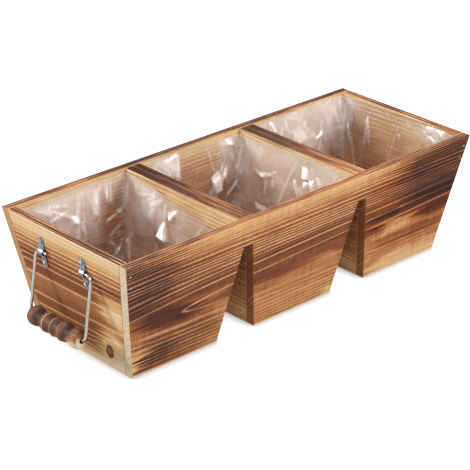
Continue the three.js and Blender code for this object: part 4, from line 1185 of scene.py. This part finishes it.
# whiter patches listed per bay: wall, outline and amount; partly doubled film, partly painted reflection
LAYERS = (
    [  # bay 1
        ("y", ((-222, 131), (-150, 134), (-168, 106), (-200, 118)), 0.12), ("y", ((-150, 134), (-128, 134), (-138, 102), (-146, 110)), 0.12), ("y", ((-125, 134), (-116, 134), (-120, 110), (-126, 112)), 0.20),
        ("x", ((92, 136), (36, 134), (30, 84), (92, 70)), 0.16), ("x", ((60, 130), (24, 128), (28, 112), (52, 106)), 0.06), ("x", ((8, 122), (-20, 121), (-4, 98)), 0.06),
    ],
    [  # bay 2
        ("y", ((-56, 135), (-18, 136), (-22, 108), (-36, 120)), 0.20), ("y", ((40, 134), (66, 134), (68, 122), (48, 126)), 0.12),
        ("x", ((92, 134), (-70, 138), (-60, 104), (30, 74), (92, 52)), 0.13), ("x", ((-4, 130), (-44, 132), (-30, 108), (-8, 104)), 0.08),
    ],
    [  # bay 3
        ("y", ((104, 136), (226, 138), (214, 110), (160, 98)), 0.12), ("y", ((222, 136), (234, 136), (232, 98), (227, 94)), 0.22),
        ("x", ((88, 136), (72, 136), (64, 112), (82, 84)), 0.20), ("x", ((-36, 138), (-70, 138), (-60, 124), (-44, 124)), 0.14),
    ],
)
# soft spots listed per bay where the haze, partly a painted reflection of the room, is raised or lowered: centre, size
# and amount
VEILS = (
    [(wall_y(-190, 124), (70, 40, 30), 0.18), (wall_y(-150, 118), (30, 40, 40), 0.10), (wall_y(-120, 92), (24, 30, 40), -0.24), (wall_y(-170, 72), (60, 30, 28), -0.10), (wall_x(0, 44, 118), (40, 40, 36), 0.20),
     (wall_x(0, -20, 70), (30, 50, 40), -0.02), (wall_x(0, 76, 56), (14, 14, 22), -0.2)],
    [(wall_y(-44, 124), (26, 40, 24), 0.14), (wall_y(6, 116), (34, 40, 32), -0.32), (wall_y(8, 82), (40, 40, 34), -0.20), (wall_x(1, 50, 118), (40, 60, 40), 0.16), (wall_y(56, 76), (20, 20, 14), -0.2)],
    [(wall_y(170, 120), (90, 40, 50), 0.22), (wall_y(225, 110), (30, 30, 60), 0.12), (wall_x(2, 4, 112), (40, 64, 44), -0.34), (wall_x(2, 40, 78), (40, 60, 34), -0.26), (wall_x(2, -62, 132), (20, 30, 16), 0.22)],
)
for i, edge in enumerate((edge_1, edge_2, edge_3)):
    o = film_sheet(f"bay{i + 1}_film", i, 100 + i, edge, FOLDS[i], FACETS[i], LAYERS[i], VEILS[i], film)
    stands_for(o, f"bay{i + 1}_film_liner")
    o.visible_diffuse = o.visible_glossy = False    # thin film throws no glints of its own on the boards

# ------------------------------------------------------------------ floor, light and camera
ground = bpy.data.meshes.new("ground")
size = 9.0
ground.from_pydata([(-size, -size, -0.0004), (size, -size, -0.0004), (size, size, -0.0004), (-size, size, -0.0004)], [], [(0, 1, 2, 3)])
g = Nodes("pale_ground")
P = g.position()
n = g.noise(g.scaled(P, (0.004, 0.004, 0.004)), 3.0)
b = g.principled(Base_Color=g.ramp(n, [(0.3, (0.30, 0.30, 0.30, 1)), (0.7, (0.33, 0.33, 0.33, 1))]))
b.inputs["Roughness"].default_value = 0.9
b.inputs["Specular IOR Level"].default_value = 0.05
# painted contact shadow: the floor's glow is dimmed by ambient occlusion close to the planter
near = g.new("ShaderNodeAmbientOcclusion", samples=12)
near.inputs["Distance"].default_value = 0.012
b.inputs["Emission Color"].default_value = (1, 1, 1, 1)
seen = g.new("ShaderNodeLightPath").outputs["Is Camera Ray"]
g.put(b.inputs["Emission Strength"], g.mul(g.rise(near.outputs["AO"], 0.15, 0.95, 0.20, 0.86, "LINEAR"), g.math("MULTIPLY_ADD", seen, 0.70, 0.30)))
ground.materials.append(g.done(b.outputs[0]))
floor_obj = bpy.data.objects.new("studio_floor", ground)
scene.collection.objects.link(floor_obj)

world = bpy.data.worlds.new("studio")
scene.world = world
world.use_nodes = True
wt = world.node_tree
wt.nodes.clear()
wo = wt.nodes.new("ShaderNodeOutputWorld")
bg = wt.nodes.new("ShaderNodeBackground")
sky_at = wt.nodes.new("ShaderNodeTexCoord")
sky_z = wt.nodes.new("ShaderNodeSeparateXYZ")
wt.links.new(sky_at.outputs["Generated"], sky_z.inputs[0])
sky = wt.nodes.new("ShaderNodeValToRGB")
sky.color_ramp.elements[0].position = 0.02
sky.color_ramp.elements[0].color = (1.0, 1.0, 1.0, 1)
sky.color_ramp.elements[1].position = 0.60
sky.color_ramp.elements[1].color = (0.30, 0.32, 0.36, 1)
wt.links.new(sky_z.outputs[2], sky.inputs[0])
wt.links.new(sky.outputs[0], bg.inputs["Color"])
bg.inputs["Strength"].default_value = 0.76
wt.links.new(bg.outputs[0], wo.inputs[0])


def area_light(name, at, aim, size_x, size_y, power, colour=(1, 1, 1)):
    d = bpy.data.lights.new(name, "AREA")
    d.shape = "RECTANGLE"
    d.size, d.size_y = size_x, size_y
    d.energy = power
    d.color = colour
    o = bpy.data.objects.new(name, d)
    scene.collection.objects.link(o)
    o.location = at
    o.rotation_mode = "QUATERNION"
    o.rotation_quaternion = (Vector(aim) - Vector(at)).to_track_quat("-Z", "Y")
    return o


area_light("key_left", (-1.49, 1.34, 0.98), (0, 0, 0.06), 0.45, 0.45, 30.0, (1.0, 0.99, 0.97))
area_light("fill_front", (0.95, -2.1, 1.2), (0, 0, 0.06), 0.7, 0.6, 34.0)
area_light("fill_high", (-0.85, -1.45, 2.2), (0, 0, 0.05), 1.2, 1.0, 32.0)
area_light("top", (0.1, 0.2, 2.4), (0, 0, 0.05), 1.2, 0.8, 26.0)

cam = bpy.data.cameras.new("camera")
cam.sensor_fit = "HORIZONTAL"
cam.sensor_width = 36.0
cam.lens = 146.5726
cam.clip_start, cam.clip_end = 0.05, 60.0
turn_a, turn_e, turn_r = -0.74959, 0.44247, 0.00316
right = Vector((math.cos(turn_a), math.sin(turn_a), 0))
back = Vector((math.sin(turn_a) * math.cos(turn_e), -math.cos(turn_a) * math.cos(turn_e), math.sin(turn_e)))
up = back.cross(right)
right, up = math.cos(turn_r) * right + math.sin(turn_r) * up, -math.sin(turn_r) * right + math.cos(turn_r) * up
m = Matrix((right, up, back)).transposed().to_4x4()
m.translation = Vector((-1.28786034, -1.36697678, 0.95165693))
cam_obj = bpy.data.objects.new("camera", cam)
scene.collection.objects.link(cam_obj)
cam_obj.matrix_world = m
scene.camera = cam_obj

scene.view_settings.view_transform = "Standard"
scene.view_settings.look = "None"

bpy.context.view_layer.update()
